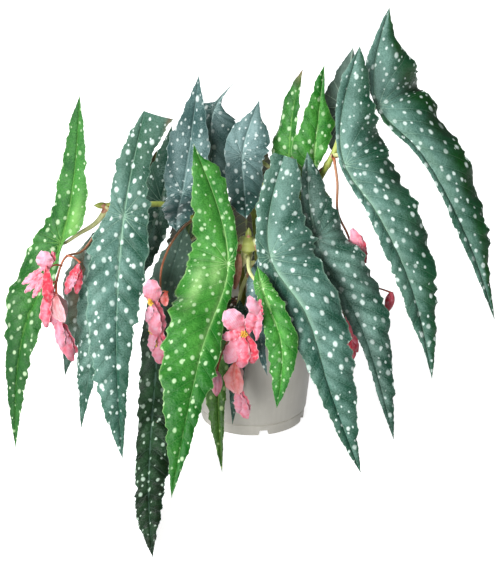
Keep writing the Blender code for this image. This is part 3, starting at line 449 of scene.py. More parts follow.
# Each flower bunch: its main stalk's points, then its flowers. A pink's tint goes from 0, deep,
# to 1, light, and is given at the foot and at the tip. "tepals" is a joint and the tepals that
# leave it, each as foot, tip, half width and tint; "stamens" is a foot, a direction and a count;
# "pod" is a three-winged ovary's top and end; the others are the middle or the top of the
# flower, the way it faces or hangs, its length and its tint.
BUNCHES = {
    "flowers_left": (
        ((-133, -47, 222), (-143, -66, 210), (-153, -96, 203), (-165, -116, 204), (-172, -124, 186)),
        (
            ("tepals", (-178, -133, 200), (
                ((-179, -134, 197), (-180, -138, 218), 7.2, (0.70, 1.00)),
                ((-177, -132, 202), (-172, -134, 216), 3.6, (0.20, 0.35)),
                ((-178, -139, 205), (-178, -141, 172), 5.0, (0.00, 0.10)),
                ((-182, -134, 201), (-200, -136, 187), 3.0, (0.55, 0.85)),
                ((-182, -136, 197), (-198, -138, 180), 2.8, (0.60, 0.80)),
                ((-180, -138, 195), (-191, -140, 176), 2.6, (0.50, 0.75)),
            )),
            ("tepals", (-176, -131, 184), (
                ((-177, -137, 186), (-182, -134, 146), 5.2, (0.15, 0.45)),
                ((-175, -132, 182), (-173, -131, 145), 5.0, (0.55, 0.75)),
                ((-178, -134, 180), (-178, -132, 150), 3.6, (0.05, 0.20)),
            )),
            ("pod", (-171, -136, 178), (-166, -135, 152), (0.55, 0.95)),
            ("tepals", (-152, -120, 202), (
                ((-152, -122, 201), (-164, -126, 174), 4.4, (0.15, 0.40)),
                ((-152, -120, 199), (-155, -124, 174), 4.0, (0.05, 0.25)),
                ((-154, -124, 194), (-160, -129, 180), 2.2, (0.85, 0.95)),
            )),
            ("pod", (-178, -131, 163), (-174, -130, 149), (0.30, 0.60)),
            ("tepals", (-174, -129, 157), (
                ((-175, -131, 157), (-161, -125, 110), 5.4, (0.35, 0.60)),
                ((-172, -133, 158), (-168, -131, 122), 4.4, (0.60, 0.75)),
                ((-170, -126, 150), (-157, -122, 117), 4.2, (0.20, 0.45)),
                ((-169, -131, 146), (-161, -129, 124), 2.6, (0.75, 0.85)),
            )),
        ),
    ),
    "flowers_left_middle": (
        ((-56, -16, 208), (-66, -44, 207), (-77, -78, 198), (-82, -94, 186), (-83, -98, 164)),
        (
            ("tepals", (-86, -110, 163), (
                ((-88, -114, 158), (-90, -119, 185), 8.2, (0.50, 0.85)),
                ((-88, -114, 166), (-80, -112, 134), 4.6, (0.30, 0.55)),
                ((-89, -118, 164), (-86, -118, 130), 6.0, (0.70, 0.60)),
                ((-89, -119, 163), (-94, -121, 146), 3.3, (0.95, 1.00)),
            )),
            ("stamens", (-89, -118, 164), (-0.65, -0.75, 0.0), 16),
            ("tepals", (-85, -109, 138), (
                ((-88, -114, 138), (-84, -112, 102), 5.8, (0.60, 0.70)),
                ((-85, -111, 140), (-79, -108, 111), 4.4, (0.35, 0.50)),
                ((-88, -117, 138), (-91, -119, 117), 3.8, (0.80, 0.90)),
            )),
            ("stamens", (-89, -116, 136), (-0.75, -0.65, 0.0), 14),
            ("stamens", (-86, -116, 124), (-0.65, -0.75, 0.0), 12),
            ("pod", (-77, -108, 170), (-78, -110, 157), (0.00, 0.25)),
        ),
    ),
    "flowers_front": (
        ((-10, -53, 178), (-22, -68, 166), (-27, -88, 140), (-20, -104, 126)),
        (
            ("tepals", (-8, -122, 136), (
                ((-9, -127, 137), (-23, -131, 161), 9.6, (0.45, 0.95)),
                ((-10, -129, 138), (-28, -131, 135), 4.6, (0.30, 0.70)),
                ((-11, -129, 137), (-23, -132, 111), 7.4, (0.45, 0.85)),
                ((-8, -131, 136), (-11, -133, 107), 7.4, (0.20, 0.50)),
                ((-5, -128, 137), (0, -130, 110), 7.0, (0.00, 0.25)),
                ((-4, -129, 138), (0, -131, 160), 5.4, (0.30, 0.60)),
            )),
            ("stamens", (-8, -130, 138), (0.0, -0.95, 0.3), 15),
            ("tepals", (3, -124, 148), (
                ((7, -127, 145), (-4, -131, 174), 5.4, (0.45, 0.95)),
                ((3, -128, 131), (5, -128, 162), 4.8, (0.50, 0.75)),
                ((7, -127, 150), (6, -128, 170), 2.8, (0.15, 0.40)),
            )),
            ("pod", (-15, -120, 107), (-14, -119, 76), (0.10, 0.55)),
            ("tepals", (-15, -117, 80), (
                ((-15, -118, 80), (-5, -118, 50), 5.2, (0.80, 0.60)),
                ((-14, -120, 79), (-13, -121, 57), 4.0, (0.55, 0.85)),
                ((-13, -116, 79), (-3, -115, 57), 4.0, (0.35, 0.50)),
            )),
            ("bud", (-33, -116, 84), (0.0, -0.10, -1.0), 24, (0.90, 0.45)),
        ),
    ),
    "flowers_right": (
        ((76, -14, 262), (78, -24, 248), (80, -20, 214), (90, -20, 192), (96, -26, 160), (96, -30, 128)),
        (
            ("tepals", (104, -22, 170), (
                ((107, -26, 168), (92, -30, 203), 6.2, (0.30, 0.85)),
                ((106, -29, 169), (100, -32, 197), 3.4, (0.10, 0.35)),
                ((104, -24, 172), (86, -26, 190), 5.0, (0.50, 0.70)),
            )),
            ("stamens", (101, -28, 176), (0.3, -0.9, 0.2), 12),
            ("tepals", (92, -32, 122), (
                ((92, -34, 122), (100, -36, 81), 4.3, (0.40, 0.25)),
                ((94, -36, 106), (95, -40, 74), 4.3, (0.20, 0.05)),
                ((91, -31, 120), (90, -32, 84), 4.0, (0.45, 0.60)),
            )),
            ("bud", (128, -46, 136), (-0.2, -0.2, -0.9), 20, (0.10, 0.20)),
        ),
    ),
    "flowers_back": (
        ((-6, 84, 224), (-20, 100, 232), (-36, 122, 218), (-40, 136, 194)),
        (
            ("open", (-40, 150, 200), (0.0, 0.9, 0.3), 36, (0.35, 0.95)),
            ("bell", (-52, 140, 188), (-0.1, 0.15, -1.0), 46, (0.30, 0.75)),
            ("bell", (-30, 142, 180), (0.1, 0.15, -1.0), 40, (0.20, 0.60)),
        ),
    ),
}

# Soft patches on some leaves: what it does, its middle across and below the leaf stalk, its half
# size across and along, and how strong it is. Pale patches are partly the leaf's own pale midribs
# and partly painted light on folded facets and painted sheen bands; shade patches are painted shade.
PALE_AND_LIT, SHADE, BROWN = range(3)
PATCHES = {
    "leaf_far_left": ((PALE_AND_LIT, 9, -24, 6, 20, 0.55), (SHADE, 0, 120, 40, 60, 0.85)),
    "leaf_left": (
        (BROWN, 24, -84, 3, 22, 0.7), (PALE_AND_LIT, 0, 20, 1.4, 22, 0.4), (SHADE, -4, -62, 26, 40, 0.55),
    ),
    "leaf_left_inner": ((BROWN, 0, 20, 20, 34, 0.9),),
    "leaf_upright_thin": ((BROWN, 0, 86, 8, 12, 0.9),),
    "leaf_front_left": (
        (PALE_AND_LIT, -24, 30, 5, 26, 0.55), (PALE_AND_LIT, -10, 12, 5, 16, 0.5), (PALE_AND_LIT, 0, 55, 1.8, 45, 0.4),
        (SHADE, 0, 160, 45, 70, 0.45),
    ),
    "leaf_front_right": ((PALE_AND_LIT, 0, 35, 2.2, 50, 0.65), (SHADE, -4, -40, 9, 60, 0.25)),
    "leaf_front_low": ((PALE_AND_LIT, 0, -30, 40, 50, 0.5),),
    "leaf_top_right": (
        (SHADE, -4, 14, 4, 22, 0.9), (PALE_AND_LIT, 4, 60, 3, 40, 0.2), (SHADE, 0, 130, 40, 60, 0.3),
    ),
    "leaf_upper_right": ((PALE_AND_LIT, 0, 40, 1.6, 60, 0.5), (SHADE, 0, 120, 30, 60, 0.3)),
    "leaf_top": ((SHADE, 0, -50, 20, 18, 0.3), (SHADE, 0, 50, 25, 32, 0.9)),
}

# How much greyer, or greener below nought, some leaves are: the left half near the midrib and at
# its edge, then the right half in the same way. The greyer tone is partly the waxy bloom and partly
# a painted sheen on halves turned to the light. The deep table is painted shade: how dark a green
# the left and the right half turn to at their edges. The others have the plain values.
PLAIN_BLOOM_AND_SHEEN = (0.1, 0.0, 0.1, -0.1)
PLAIN_EDGE_SHADE = (0.1, 0.1)
BLOOM_AND_SHEEN = {
    "leaf_far_left": (0.00, -0.15, 0.20, 0.10),
    "leaf_left": (0.15, 0.25, -0.15, 0.00),
    "leaf_left_back": (-0.30, -0.40, -0.20, -0.30),
    "leaf_front_right": (-0.05, 0.05, 0.25, 0.00),
    "leaf_right": (0.10, 0.35, 0.20, -0.10),
    "leaf_upper_right": (0.10, 0.30, 0.25, -0.25),
    "leaf_top_right": (0.20, 0.20, 0.35, -0.30),
    "leaf_top": (0.25, 0.20, 0.25, 0.15),
    "leaf_top_left": (-0.05, -0.15, -0.05, -0.15),
    "leaf_front_left": (0.15, -0.05, -0.15, -0.15),
}
EDGE_SHADES = {
    "leaf_top_right": (0.0, 1.0), "leaf_upper_right": (0.0, 0.50), "leaf_right": (0.0, 0.25),
    "leaf_left": (0.05, 0.20), "leaf_far_left": (0.30, 0.0), "leaf_left_back": (0.5, 0.3),
    "leaf_front_left": (0.15, 0.25), "leaf_front_right": (0.15, 0.10),
}

# How far small spots take the place of big ones all over some leaves
PLAIN_SPECKLE = 0.10
SPECKLED = {
    "leaf_pot_bright": 0.65, "leaf_pot_pale": 0.60, "leaf_pot_shade": 0.60, "leaf_top_left": 0.30,
    "leaf_top": 0.35, "leaf_top_left_rear": 0.40, "leaf_front_low": 0.25, "leaf_upright_bright": 0.30,
}


def unit(vectors):
    """Vectors at a length of one."""
    vectors = np.asarray(vectors, float)
    return vectors / np.maximum(np.linalg.norm(vectors, axis=-1, keepdims=True), 1e-9)


def hump(away, reach):
    """A bell curve: one at nought, and 0.37 at the reach on either side."""
    return np.exp(-((away / reach) ** 2))


def beside(*values):
    """Numbers side by side on a last axis, each stretched to the same grid."""
    return np.stack(np.broadcast_arrays(*values), axis=-1)


def way_round(first, second, turn):
    """Directions at turns round an axis: the first at nought, the second a quarter turn on."""
    turn = np.asarray(turn)[..., None]
    return np.cos(turn) * first + np.sin(turn) * second


def across_of(direction):
    """Two directions square to a direction and to each other."""
    direction = unit(direction)
    first = unit(np.cross(Z if abs(direction[2]) < 0.7 else X, direction))
    return first, np.cross(direction, first)


def smooth_curve(points, at):
    """Points and directions at the given lengths of a smooth curve through the points.

    The curve is a cubic in each span. Its slope at a point is the mean of the two spans'
    slopes, each weighted by the other's length, and runs straight out at the two ends.
    """
    points = np.asarray(points, float)
    spans = np.linalg.norm(np.diff(points, axis=0), axis=1)
    knots = np.concatenate([[0.0], np.cumsum(spans)])
    slopes = np.diff(points, axis=0) / spans[:, None]
    bend = slopes[:-1] * spans[1:, None] + slopes[1:] * spans[:-1, None]
    bend = bend / (spans[:-1] + spans[1:])[:, None]
    first = 1.5 * slopes[0] - 0.5 * bend[0]
    last = 1.5 * slopes[-1] - 0.5 * bend[-1]
    slope = np.vstack([first, bend, last])
    at = np.asarray(at, float)
    span = np.clip(np.searchsorted(knots, at, side="right") - 1, 0, len(spans) - 1)
    length = spans[span][:, None]
    t = ((at - knots[span]) / spans[span])[:, None]
    a, b = points[span], points[span + 1]
    u, v = slope[span] * length, slope[span + 1] * length
    place = (2 * t**3 - 3 * t**2 + 1) * a + (t**3 - 2 * t**2 + t) * u
    place += (3 * t**2 - 2 * t**3) * b + (t**3 - t**2) * v
    going = (6 * t**2 - 6 * t) * (a - b) + (3 * t**2 - 4 * t + 1) * u + (3 * t**2 - 2 * t) * v
    return place, unit(going)


def curve_length(points):
    """The length of a curve's straight spans, by which places on it are given."""
    return np.linalg.norm(np.diff(np.asarray(points, float), axis=0), axis=1).sum()


def smooth_table(at, places, values):
    """A table read on cubics that never swing past its rows.

    The slope at a row is the harmonic mean of the slopes beside it, or nought at a peak.
    """
    step = np.diff(places)
    slope = np.diff(values) / step
    before, after = slope[:-1], slope[1:]
    same = before * after > 0
    inner = np.where(same, 2 * before * after / np.where(same, before + after, 1), 0)
    bend = np.concatenate([slope[:1], inner, slope[-1:]])
    k = np.clip(np.searchsorted(places, at, side="right") - 1, 0, len(step) - 1)
    t = (at - places[k]) / step[k]
    found = (2 * t**3 - 3 * t**2 + 1) * values[k] + (3 * t**2 - 2 * t**3) * values[k + 1]
    return found + step[k] * ((t**3 - 2 * t**2 + t) * bend[k] + (t**3 - t**2) * bend[k + 1])


def grid_faces(first, second):
    """Four-cornered faces between two rows of point numbers, or two grids of them."""
    return beside(first[..., :-1], second[..., :-1], second[..., 1:], first[..., 1:]).reshape(-1, 4)


def closed_sheet(grid, thickness):
    """Points and faces of a thin closed sheet round a grid of points.

    Each side lies half the thickness from the grid along its normal, which is the way down the
    rows crossed with the way along a row, and the rim joins the two sides.
    """
    normal = unit(np.cross(np.gradient(grid, axis=0), np.gradient(grid, axis=1)))
    half = normal * np.asarray(thickness)[..., None] / 2
    points = np.stack([grid + half, grid - half])
    upper, lower = np.arange(2 * grid[..., 0].size).reshape(points.shape[:3])
    faces = [
        grid_faces(upper[:-1], upper[1:]),
        grid_faces(lower[1:], lower[:-1]),
        grid_faces(upper[:, 0], lower[:, 0]),
        grid_faces(lower[:, -1], upper[:, -1]),
        grid_faces(lower[0], upper[0]),
        grid_faces(upper[-1], lower[-1]),
    ]
    return points.reshape(-1, 3), faces


def closed_tube(rings):
    """Points and faces of a tube through rings of points, closed by a point at each end."""
    count, sides, _ = rings.shape
    points = np.vstack([rings.reshape(-1, 3), rings[0].mean(0), rings[-1].mean(0)])
    number = np.arange(count * sides).reshape(count, sides)
    looped = np.hstack([number, number[:, :1]])
    walls = beside(looped[:-1, :-1], looped[:-1, 1:], looped[1:, 1:], looped[1:, :-1])
    start = beside(looped[0, 1:], looped[0, :-1], count * sides, -1)
    end = beside(looped[-1, :-1], looped[-1, 1:], count * sides + 1, -1)
    return points, [walls.reshape(-1, 4), start, end]


def with_ends(values):
    """A closed tube's values: those of its rings' points, then those of its two end points."""
    values = values.reshape(-1, values.shape[-1])
    return np.vstack([values, values[0], values[-1]])


def repeated(faces, size, count):
    """The faces of a count of equal surfaces of size points, one after another."""
    shifts = size * np.arange(count)[:, None, None]
    return np.where(faces < 0, -1, faces + shifts).reshape(-1, 4)


def placed(name, data):
    """A new object in the scene, at the origin."""
    obj = bpy.data.objects.new(name, data)
    bpy.context.scene.collection.objects.link(obj)
    return obj


class Piece:
    """The surfaces of one piece, gathered before they become one mesh.

    Each surface has points, faces (a fourth corner of -1 makes a triangle), a finish and, for
    each point, marks, tones, looks and a place on the flat, which its material reads.
    """

    def __init__(self, *materials):
        self.materials = materials
        self.points, self.faces, self.finishes = [], [], []
        self.read = {"marks": [], "tones": [], "looks": [], "flat": []}
        self.count = 0

    def add(
        self, points, faces, finish=0, marks=(0, 0, 0), tones=(0, 0, 0), looks=(0, 0, 0), flat=(0, 0)
    ):
        """Adds a surface. Its finish is one of the materials, or each face's material number."""
        if isinstance(finish, bpy.types.Material):
            finish = self.materials.index(finish)
        faces = np.vstack(faces) if isinstance(faces, list) else faces
        self.faces.append(np.where(faces < 0, -1, faces + self.count))
        self.finishes.append(np.broadcast_to(finish, len(faces)))
        self.points.append(points)
        for kept, given in zip(self.read.values(), (marks, tones, looks, flat)):
            given = np.asarray(given, float)
            kept.append(np.broadcast_to(given, (len(points), given.shape[-1])))
        self.count += len(points)

    def make(self, name, node, sharp_angle=55):
        """The finished object, riding on the root body in place of its solid.

        An edge stays crisp where its two faces meet at more than the sharp angle, in degrees.
        """
        faces = np.vstack(self.faces)
        sizes = np.where(faces[:, 3] < 0, 3, 4)
        corners = faces.reshape(-1)
        corners = corners[corners >= 0].astype(np.int32)
        starts = np.concatenate([[0], np.cumsum(sizes)[:-1]]).astype(np.int32)
        mesh = bpy.data.meshes.new(name)
        mesh.vertices.add(self.count)
        mesh.vertices.foreach_set("co", (np.vstack(self.points) * MM).astype(np.float32).ravel())
        mesh.loops.add(len(corners))
        mesh.loops.foreach_set("vertex_index", corners)
        mesh.polygons.add(len(faces))
        mesh.polygons.foreach_set("loop_start", starts)
        mesh.polygons.foreach_set("material_index", np.concatenate(self.finishes).astype(np.int32))
        mesh.update(calc_edges=True)
        read = {kind: np.vstack(kept).astype(np.float32) for kind, kept in self.read.items()}
        for kind in ("marks", "tones", "looks"):
            made = mesh.attributes.new(kind, "FLOAT_VECTOR", "POINT")
            made.data.foreach_set("vector", read[kind].ravel())
        mesh.uv_layers.new(name="flat").data.foreach_set("uv", read["flat"][corners].ravel())
        for material in self.materials:
            mesh.materials.append(material)
        mesh.shade_smooth()
        mesh.set_sharp_from_angle(angle=math.radians(sharp_angle))
        obj = placed(name, mesh)
        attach(obj, "root")
        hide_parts(node)
        return obj


# Materials. A pattern on a piece's flat is scaled by the millimetre, and one on Object
# coordinates by the metre.


def linear(colour, alpha=1.0):
    """A linear colour from an sRGB hex value."""
    value = np.array([int(colour[k : k + 2], 16) for k in (1, 3, 5)]) / 255
    value = np.where(value <= 0.04045, value / 12.92, ((value + 0.055) / 1.055) ** 2.4)
    return (*value.tolist(), alpha)


def new_material(name, **constants):
    """A material, its node tree and its shader, with numbers on the shader's own sockets."""
    made = bpy.data.materials.new(name)
    made.use_nodes = True
    shader = made.node_tree.nodes["Principled BSDF"]
    for socket, value in constants.items():
        shader.inputs[socket.replace("_", " ")].default_value = value
    return made, made.node_tree, shader


def add(tree, kind, settings=None, feeds=None, out=0):
    """Adds a shader node with its settings, links or sets its inputs, and returns one output."""
    made = tree.nodes.new("ShaderNode" + kind)
    for name, value in (settings or {}).items():
        setattr(made, name, value)
    for key, value in (feeds or {}).items():
        if isinstance(value, bpy.types.NodeSocket):
            tree.links.new(value, made.inputs[key])
        else:
            made.inputs[key].default_value = value
    return made.outputs[out]


def finish_skin(tree, shader, base, layers, relief, strength, depth, gloss=None):
    """Gives a shader its colour, its relief and, where it isn't even, its gloss.

    A layer is an amount and the colour that it lays over the base and the layers before it. The
    relief is a sum of parts, each times its weight, and a height of one is depth millimetres.
    """
    colour = linear(base)
    for amount, tint in layers:
        tint = linear(tint)
        colour = add(tree, "Mix", {"data_type": "RGBA"}, {0: amount, 6: colour, 7: tint}, out=2)
    tree.links.new(colour, shader.inputs["Base Color"])
    height = 0.0
    for part, weight in relief:
        height = add(tree, "Math", {"operation": "MULTIPLY_ADD"}, {0: part, 1: weight, 2: height})
    bump = add(tree, "Bump", feeds={"Strength": strength, "Distance": depth * MM, "Height": height})
    tree.links.new(bump, shader.inputs["Normal"])
    if gloss:
        tree.links.new(gloss, shader.inputs["Roughness"])


def vein_lines(tree, place, half, inner, outer):
    """One in a vein's middle, falling smoothly to nought from inner to outer half widths of it."""
    away = add(tree, "Math", {"operation": "PINGPONG"}, {0: place, 1: 0.5})
    away = add(tree, "Math", {"operation": "DIVIDE"}, {0: away, 1: half})
    return add(
        tree, "MapRange", {"interpolation_type": "SMOOTHSTEP"},
        {0: away, 1: inner, 2: outer, 3: 1.0, 4: 0.0},
    )


def leaf_face(name, dark, mid, deep, spot, vein, spotted, small_by):
    """The upper face of a begonia leaf: a waxy skin, mottled between green and a greyer bloom that
    carries a painted sheen, and darkened by painted shade at its edges and in patches.

    Silvery air-filled spots 3 to 5 mm long lie about 12 mm apart, and smaller ones crowd the
    tips and the ear. Thin sunken veins are lighter near the stalk and fade away from it.
    """
    made, tree, shader = new_material(name, IOR=1.45, Specular_IOR_Level=0.32)
    flat = add(tree, "UVMap", {"uv_map": "flat"})
    read = []
    for kind in ("marks", "tones", "looks"):
        kept = add(tree, "Attribute", {"attribute_name": kind}, out="Vector")
        read += add(tree, "SeparateXYZ", feeds={0: kept}).node.outputs
    place, half, margin, pale, crowded, brown, veined, bloom_and_sheen, shaded = read
    veins = vein_lines(tree, place, half, 0.4, 1.8)
    veins_seen = add(tree, "Math", {"operation": "MULTIPLY"}, {0: veins, 1: veined})

    # Mottling 22 mm across on the bloom and its painted sheen, and a grain of 1.3 mm, which is coarser
    # than the skin's own cells so that it shows. The deep green laid on after it is painted shade.
    cloud = add(tree, "TexNoise", feeds={"Vector": flat, "Scale": 0.045, "Detail": 4.0})
    grain = add(tree, "TexNoise", feeds={"Vector": flat, "Scale": 0.75, "Detail": 3.0})
    mixed = add(tree, "MapRange", feeds={0: cloud, 1: 0.3, 2: 0.7, 3: -0.35, 4: 0.35})
    fine = add(tree, "MapRange", feeds={0: grain, 1: 0.3, 2: 0.7, 3: -0.28, 4: 0.28})
    mixed = add(tree, "Math", {"operation": "ADD"}, {0: mixed, 1: fine})
    mixed = add(tree, "Math", {"operation": "ADD", "use_clamp": True}, {0: mixed, 1: bloom_and_sheen})
    uneven = add(tree, "MapRange", feeds={0: cloud, 1: 0.35, 2: 0.6, 3: 0.6, 4: 1.0})
    uneven = add(tree, "Math", {"operation": "MULTIPLY"}, {0: shaded, 1: uneven})

    # Spots in two sizes, each with its cells per millimetre across and along, and its least and
    # further radius in cells. Noise bends their outlines by up to half a millimetre.
    bend = add(tree, "TexNoise", feeds={"Vector": flat, "Scale": 0.35, "Detail": 1.0}, out="Color")
    bend = add(tree, "VectorMath", {"operation": "SCALE"}, {0: bend, "Scale": 1.1})
    bent = add(tree, "VectorMath", {"operation": "ADD"}, {0: flat, 1: bend})
    seen = []
    for across, along, least, further in ((0.098, 0.078, 0.150, 0.090), (0.155, 0.112, 0.125, 0.080)):
        cells = {"Vector": bent, "Rotation": (0, 0, 0.6), "Scale": (across, along, 1.0)}
        cells = {"Vector": add(tree, "Mapping", feeds=cells), "Scale": 1.0, "Randomness": 0.6}
        cell = add(tree, "TexVoronoi", {"voronoi_dimensions": "2D"}, cells).node
        chance = add(tree, "SeparateColor", feeds={0: cell.outputs["Color"]}).node.outputs
        radius = {0: chance[0], 1: further * small_by, 2: least * small_by}
        radius = add(tree, "Math", {"operation": "MULTIPLY_ADD"}, radius)
        share = add(tree, "Math", {"operation": "DIVIDE"}, {0: cell.outputs["Distance"], 1: radius})
        dot = add(
            tree, "MapRange", {"interpolation_type": "SMOOTHSTEP"},
            {0: share, 1: 1.3, 2: 0.55, 3: 0.0, 4: 1.0},
        )
        strong = add(tree, "MapRange", feeds={0: chance[2], 1: 0.0, 2: 0.6, 3: 0.5, 4: 1.0})
        dot = add(tree, "Math", {"operation": "MULTIPLY"}, {0: dot, 1: strong})
        seen.append((dot, chance[1]))
    (big, luck), (small, small_luck) = seen
    kept = add(tree, "Math", {"operation": "GREATER_THAN"}, {0: luck, 1: crowded})
    big = add(tree, "Math", {"operation": "MULTIPLY"}, {0: big, 1: kept})
    few = add(tree, "Math", {"operation": "LESS_THAN"}, {0: small_luck, 1: crowded})
    small = add(tree, "Math", {"operation": "MULTIPLY"}, {0: small, 1: few})
    dots = add(tree, "Math", {"operation": "MAXIMUM"}, {0: big, 1: small})
    dots = add(tree, "Math", {"operation": "MULTIPLY"}, {0: dots, 1: spotted})

    # Patches of paler or brown skin and a thin light margin lie over the rest; the pale patches are
    # partly pale midribs and partly painted light. The relief is a skin quilted at 4 mm, sunken veins,
    # the grain and slightly raised spots.
    rim = add(tree, "MapRange", feeds={0: margin, 1: 0.955, 2: 1.0, 3: 0.0, 4: 0.45})
    quilt = add(
        tree, "TexVoronoi", {"voronoi_dimensions": "2D", "feature": "SMOOTH_F1"},
        {"Vector": flat, "Scale": 0.26, "Smoothness": 0.6},
    )
    gloss = add(tree, "MapRange", feeds={0: grain, 1: 0.3, 2: 0.7, 3: 0.36, 4: 0.50})
    layers = (
        (mixed, mid), (uneven, deep), (veins_seen, vein), (dots, spot), (pale, vein),
        (brown, "#8a6a50"), (rim, vein),
    )
    relief = (quilt, -0.6), (veins, -0.4), (grain, 0.7), (dots, 0.15)
    finish_skin(tree, shader, dark, layers, relief, 0.7, 1.0, gloss)
    return made


def leaf_underside(name, dark, mid, vein):
    """The lower face of a begonia leaf: duller skin, mottled, with raised veins 1 mm wide."""
    made, tree, shader = new_material(name, IOR=1.45, Specular_IOR_Level=0.35, Roughness=0.55)
    flat = add(tree, "UVMap", {"uv_map": "flat"})
    marks = add(tree, "Attribute", {"attribute_name": "marks"}, out="Vector")
    place, half, _ = add(tree, "SeparateXYZ", feeds={0: marks}).node.outputs
    veins = vein_lines(tree, place, half, 0.7, 2.2)
    cloud = add(tree, "TexNoise", feeds={"Vector": flat, "Scale": 0.05, "Detail": 4.0})
    mixed = add(tree, "MapRange", feeds={0: cloud, 1: 0.35, 2: 0.65})
    net = add(
        tree, "TexVoronoi", {"voronoi_dimensions": "2D", "feature": "DISTANCE_TO_EDGE"},
        {"Vector": flat, "Scale": 0.24},
    )
    net = add(tree, "MapRange", feeds={0: net, 1: 0.0, 2: 0.1, 3: 0.3, 4: 0.0})
    layers = (mixed, mid), (veins, vein)
    finish_skin(tree, shader, dark, layers, ((net, 1.0), (veins, 0.6)), 0.6, 1.0)
    return made


def stem_skin(name, base, other, blush, fleck):
    """A fleshy begonia stem: smooth skin, two tones in streaks of 2 by 18 mm, a blush at joints.

    Lenticels, 1 mm pale flecks, stand 5 mm apart on it, and young skin is as pale as they are. Skin
    that shade falls on is painted paler in places, as painted light.
    """
    made, tree, shader = new_material(name, IOR=1.45, Specular_IOR_Level=0.4)
    place = add(tree, "TexCoord", out="Object")
    marks = add(tree, "Attribute", {"attribute_name": "marks"}, out="Vector")
    blushed, fresh_and_lit, _ = add(tree, "SeparateXYZ", feeds={0: marks}).node.outputs
    long = add(tree, "Mapping", feeds={"Vector": place, "Scale": (420.0, 420.0, 55.0)})
    streak = add(tree, "TexNoise", feeds={"Vector": long, "Scale": 1.0, "Detail": 3.0})
    mixed = add(tree, "MapRange", feeds={0: streak, 1: 0.35, 2: 0.65})
    cell = add(tree, "TexVoronoi", feeds={"Vector": place, "Scale": 210.0})
    flecks = add(tree, "MapRange", feeds={0: cell, 1: 0.10, 2: 0.16, 3: 0.6, 4: 0.0})
    gloss = add(tree, "MapRange", feeds={0: streak, 1: 0.3, 2: 0.7, 3: 0.36, 4: 0.52})
    layers = (mixed, other), (flecks, fleck), (blushed, blush), (fresh_and_lit, fleck)
    finish_skin(tree, shader, base, layers, ((flecks, 1.0), (streak, 0.3)), 0.35, 0.3, gloss)
    return made


def petal_skin(name, deep, light, edge):
    """A begonia tepal: thin moist tissue, deep pink to light pink, with fine darker veins.

    The veins run down the tepal about 1 mm apart, and paler flecks 3 mm apart are painted glints
    that make it glisten.
    """
    made, tree, shader = new_material(name, IOR=1.4, Specular_IOR_Level=0.4, Roughness=0.42)
    marks = add(tree, "Attribute", {"attribute_name": "marks"}, out="Vector")
    across, lightness, _ = add(tree, "SeparateXYZ", feeds={0: marks}).node.outputs
    flat = add(tree, "UVMap", {"uv_map": "flat"})
    cloud = add(tree, "TexNoise", feeds={"Vector": flat, "Scale": 0.16, "Detail": 3.0})
    shift = add(tree, "Math", {"operation": "SUBTRACT"}, {0: cloud, 1: 0.5})
    tint = add(tree, "Math", {"operation": "ADD", "use_clamp": True}, {0: shift, 1: lightness})
    lines = add(tree, "Math", {"operation": "MULTIPLY_ADD"}, {0: across, 1: 5.5, 2: shift})
    lines = add(tree, "Math", {"operation": "PINGPONG"}, {0: lines, 1: 0.5})
    lines = add(tree, "MapRange", feeds={0: lines, 1: 0.05, 2: 0.2, 3: 0.4, 4: 0.0})
    cells = add(tree, "TexNoise", feeds={"Vector": flat, "Scale": 0.34, "Detail": 3.0})
    # Painted glints: pale flecks that stand in for light glinting on the moist skin.
    painted_glints = add(tree, "MapRange", feeds={0: cells, 1: 0.50, 2: 0.75, 3: 0.0, 4: 0.35})
    rim = add(tree, "Math", {"operation": "ABSOLUTE"}, {0: across})
    rim = add(tree, "MapRange", feeds={0: rim, 1: 0.85, 2: 1.0, 3: 0.0, 4: 0.4})
    layers = (tint, light), (lines, deep), (painted_glints, edge), (rim, edge)
    relief = (cloud, 1.0), (lines, -0.8), (cells, 1.4)
    finish_skin(tree, shader, deep, layers, relief, 0.5, 0.6)
    return made


def mottled(name, base, other, scale, rough, relief, ior):
    """A plain dull finish: two colours in soft noise, with relief to match.

    The scale is how many noise cells a metre holds, so 500 gives a grain of 2 mm.
    """
    made, tree, shader = new_material(name, IOR=ior)
    place = add(tree, "TexCoord", out="Object")
    noise = add(tree, "TexNoise", feeds={"Vector": place, "Scale": scale, "Detail": 4.0})
    mixed = add(tree, "MapRange", feeds={0: noise, 1: 0.35, 2: 0.65})
    gloss = add(tree, "MapRange", feeds={0: noise, 1: 0.3, 2: 0.7, 3: rough - 0.05, 4: rough + 0.05})
    finish_skin(tree, shader, base, ((mixed, other),), ((noise, 1.0),), 0.5, relief, gloss)
    return made


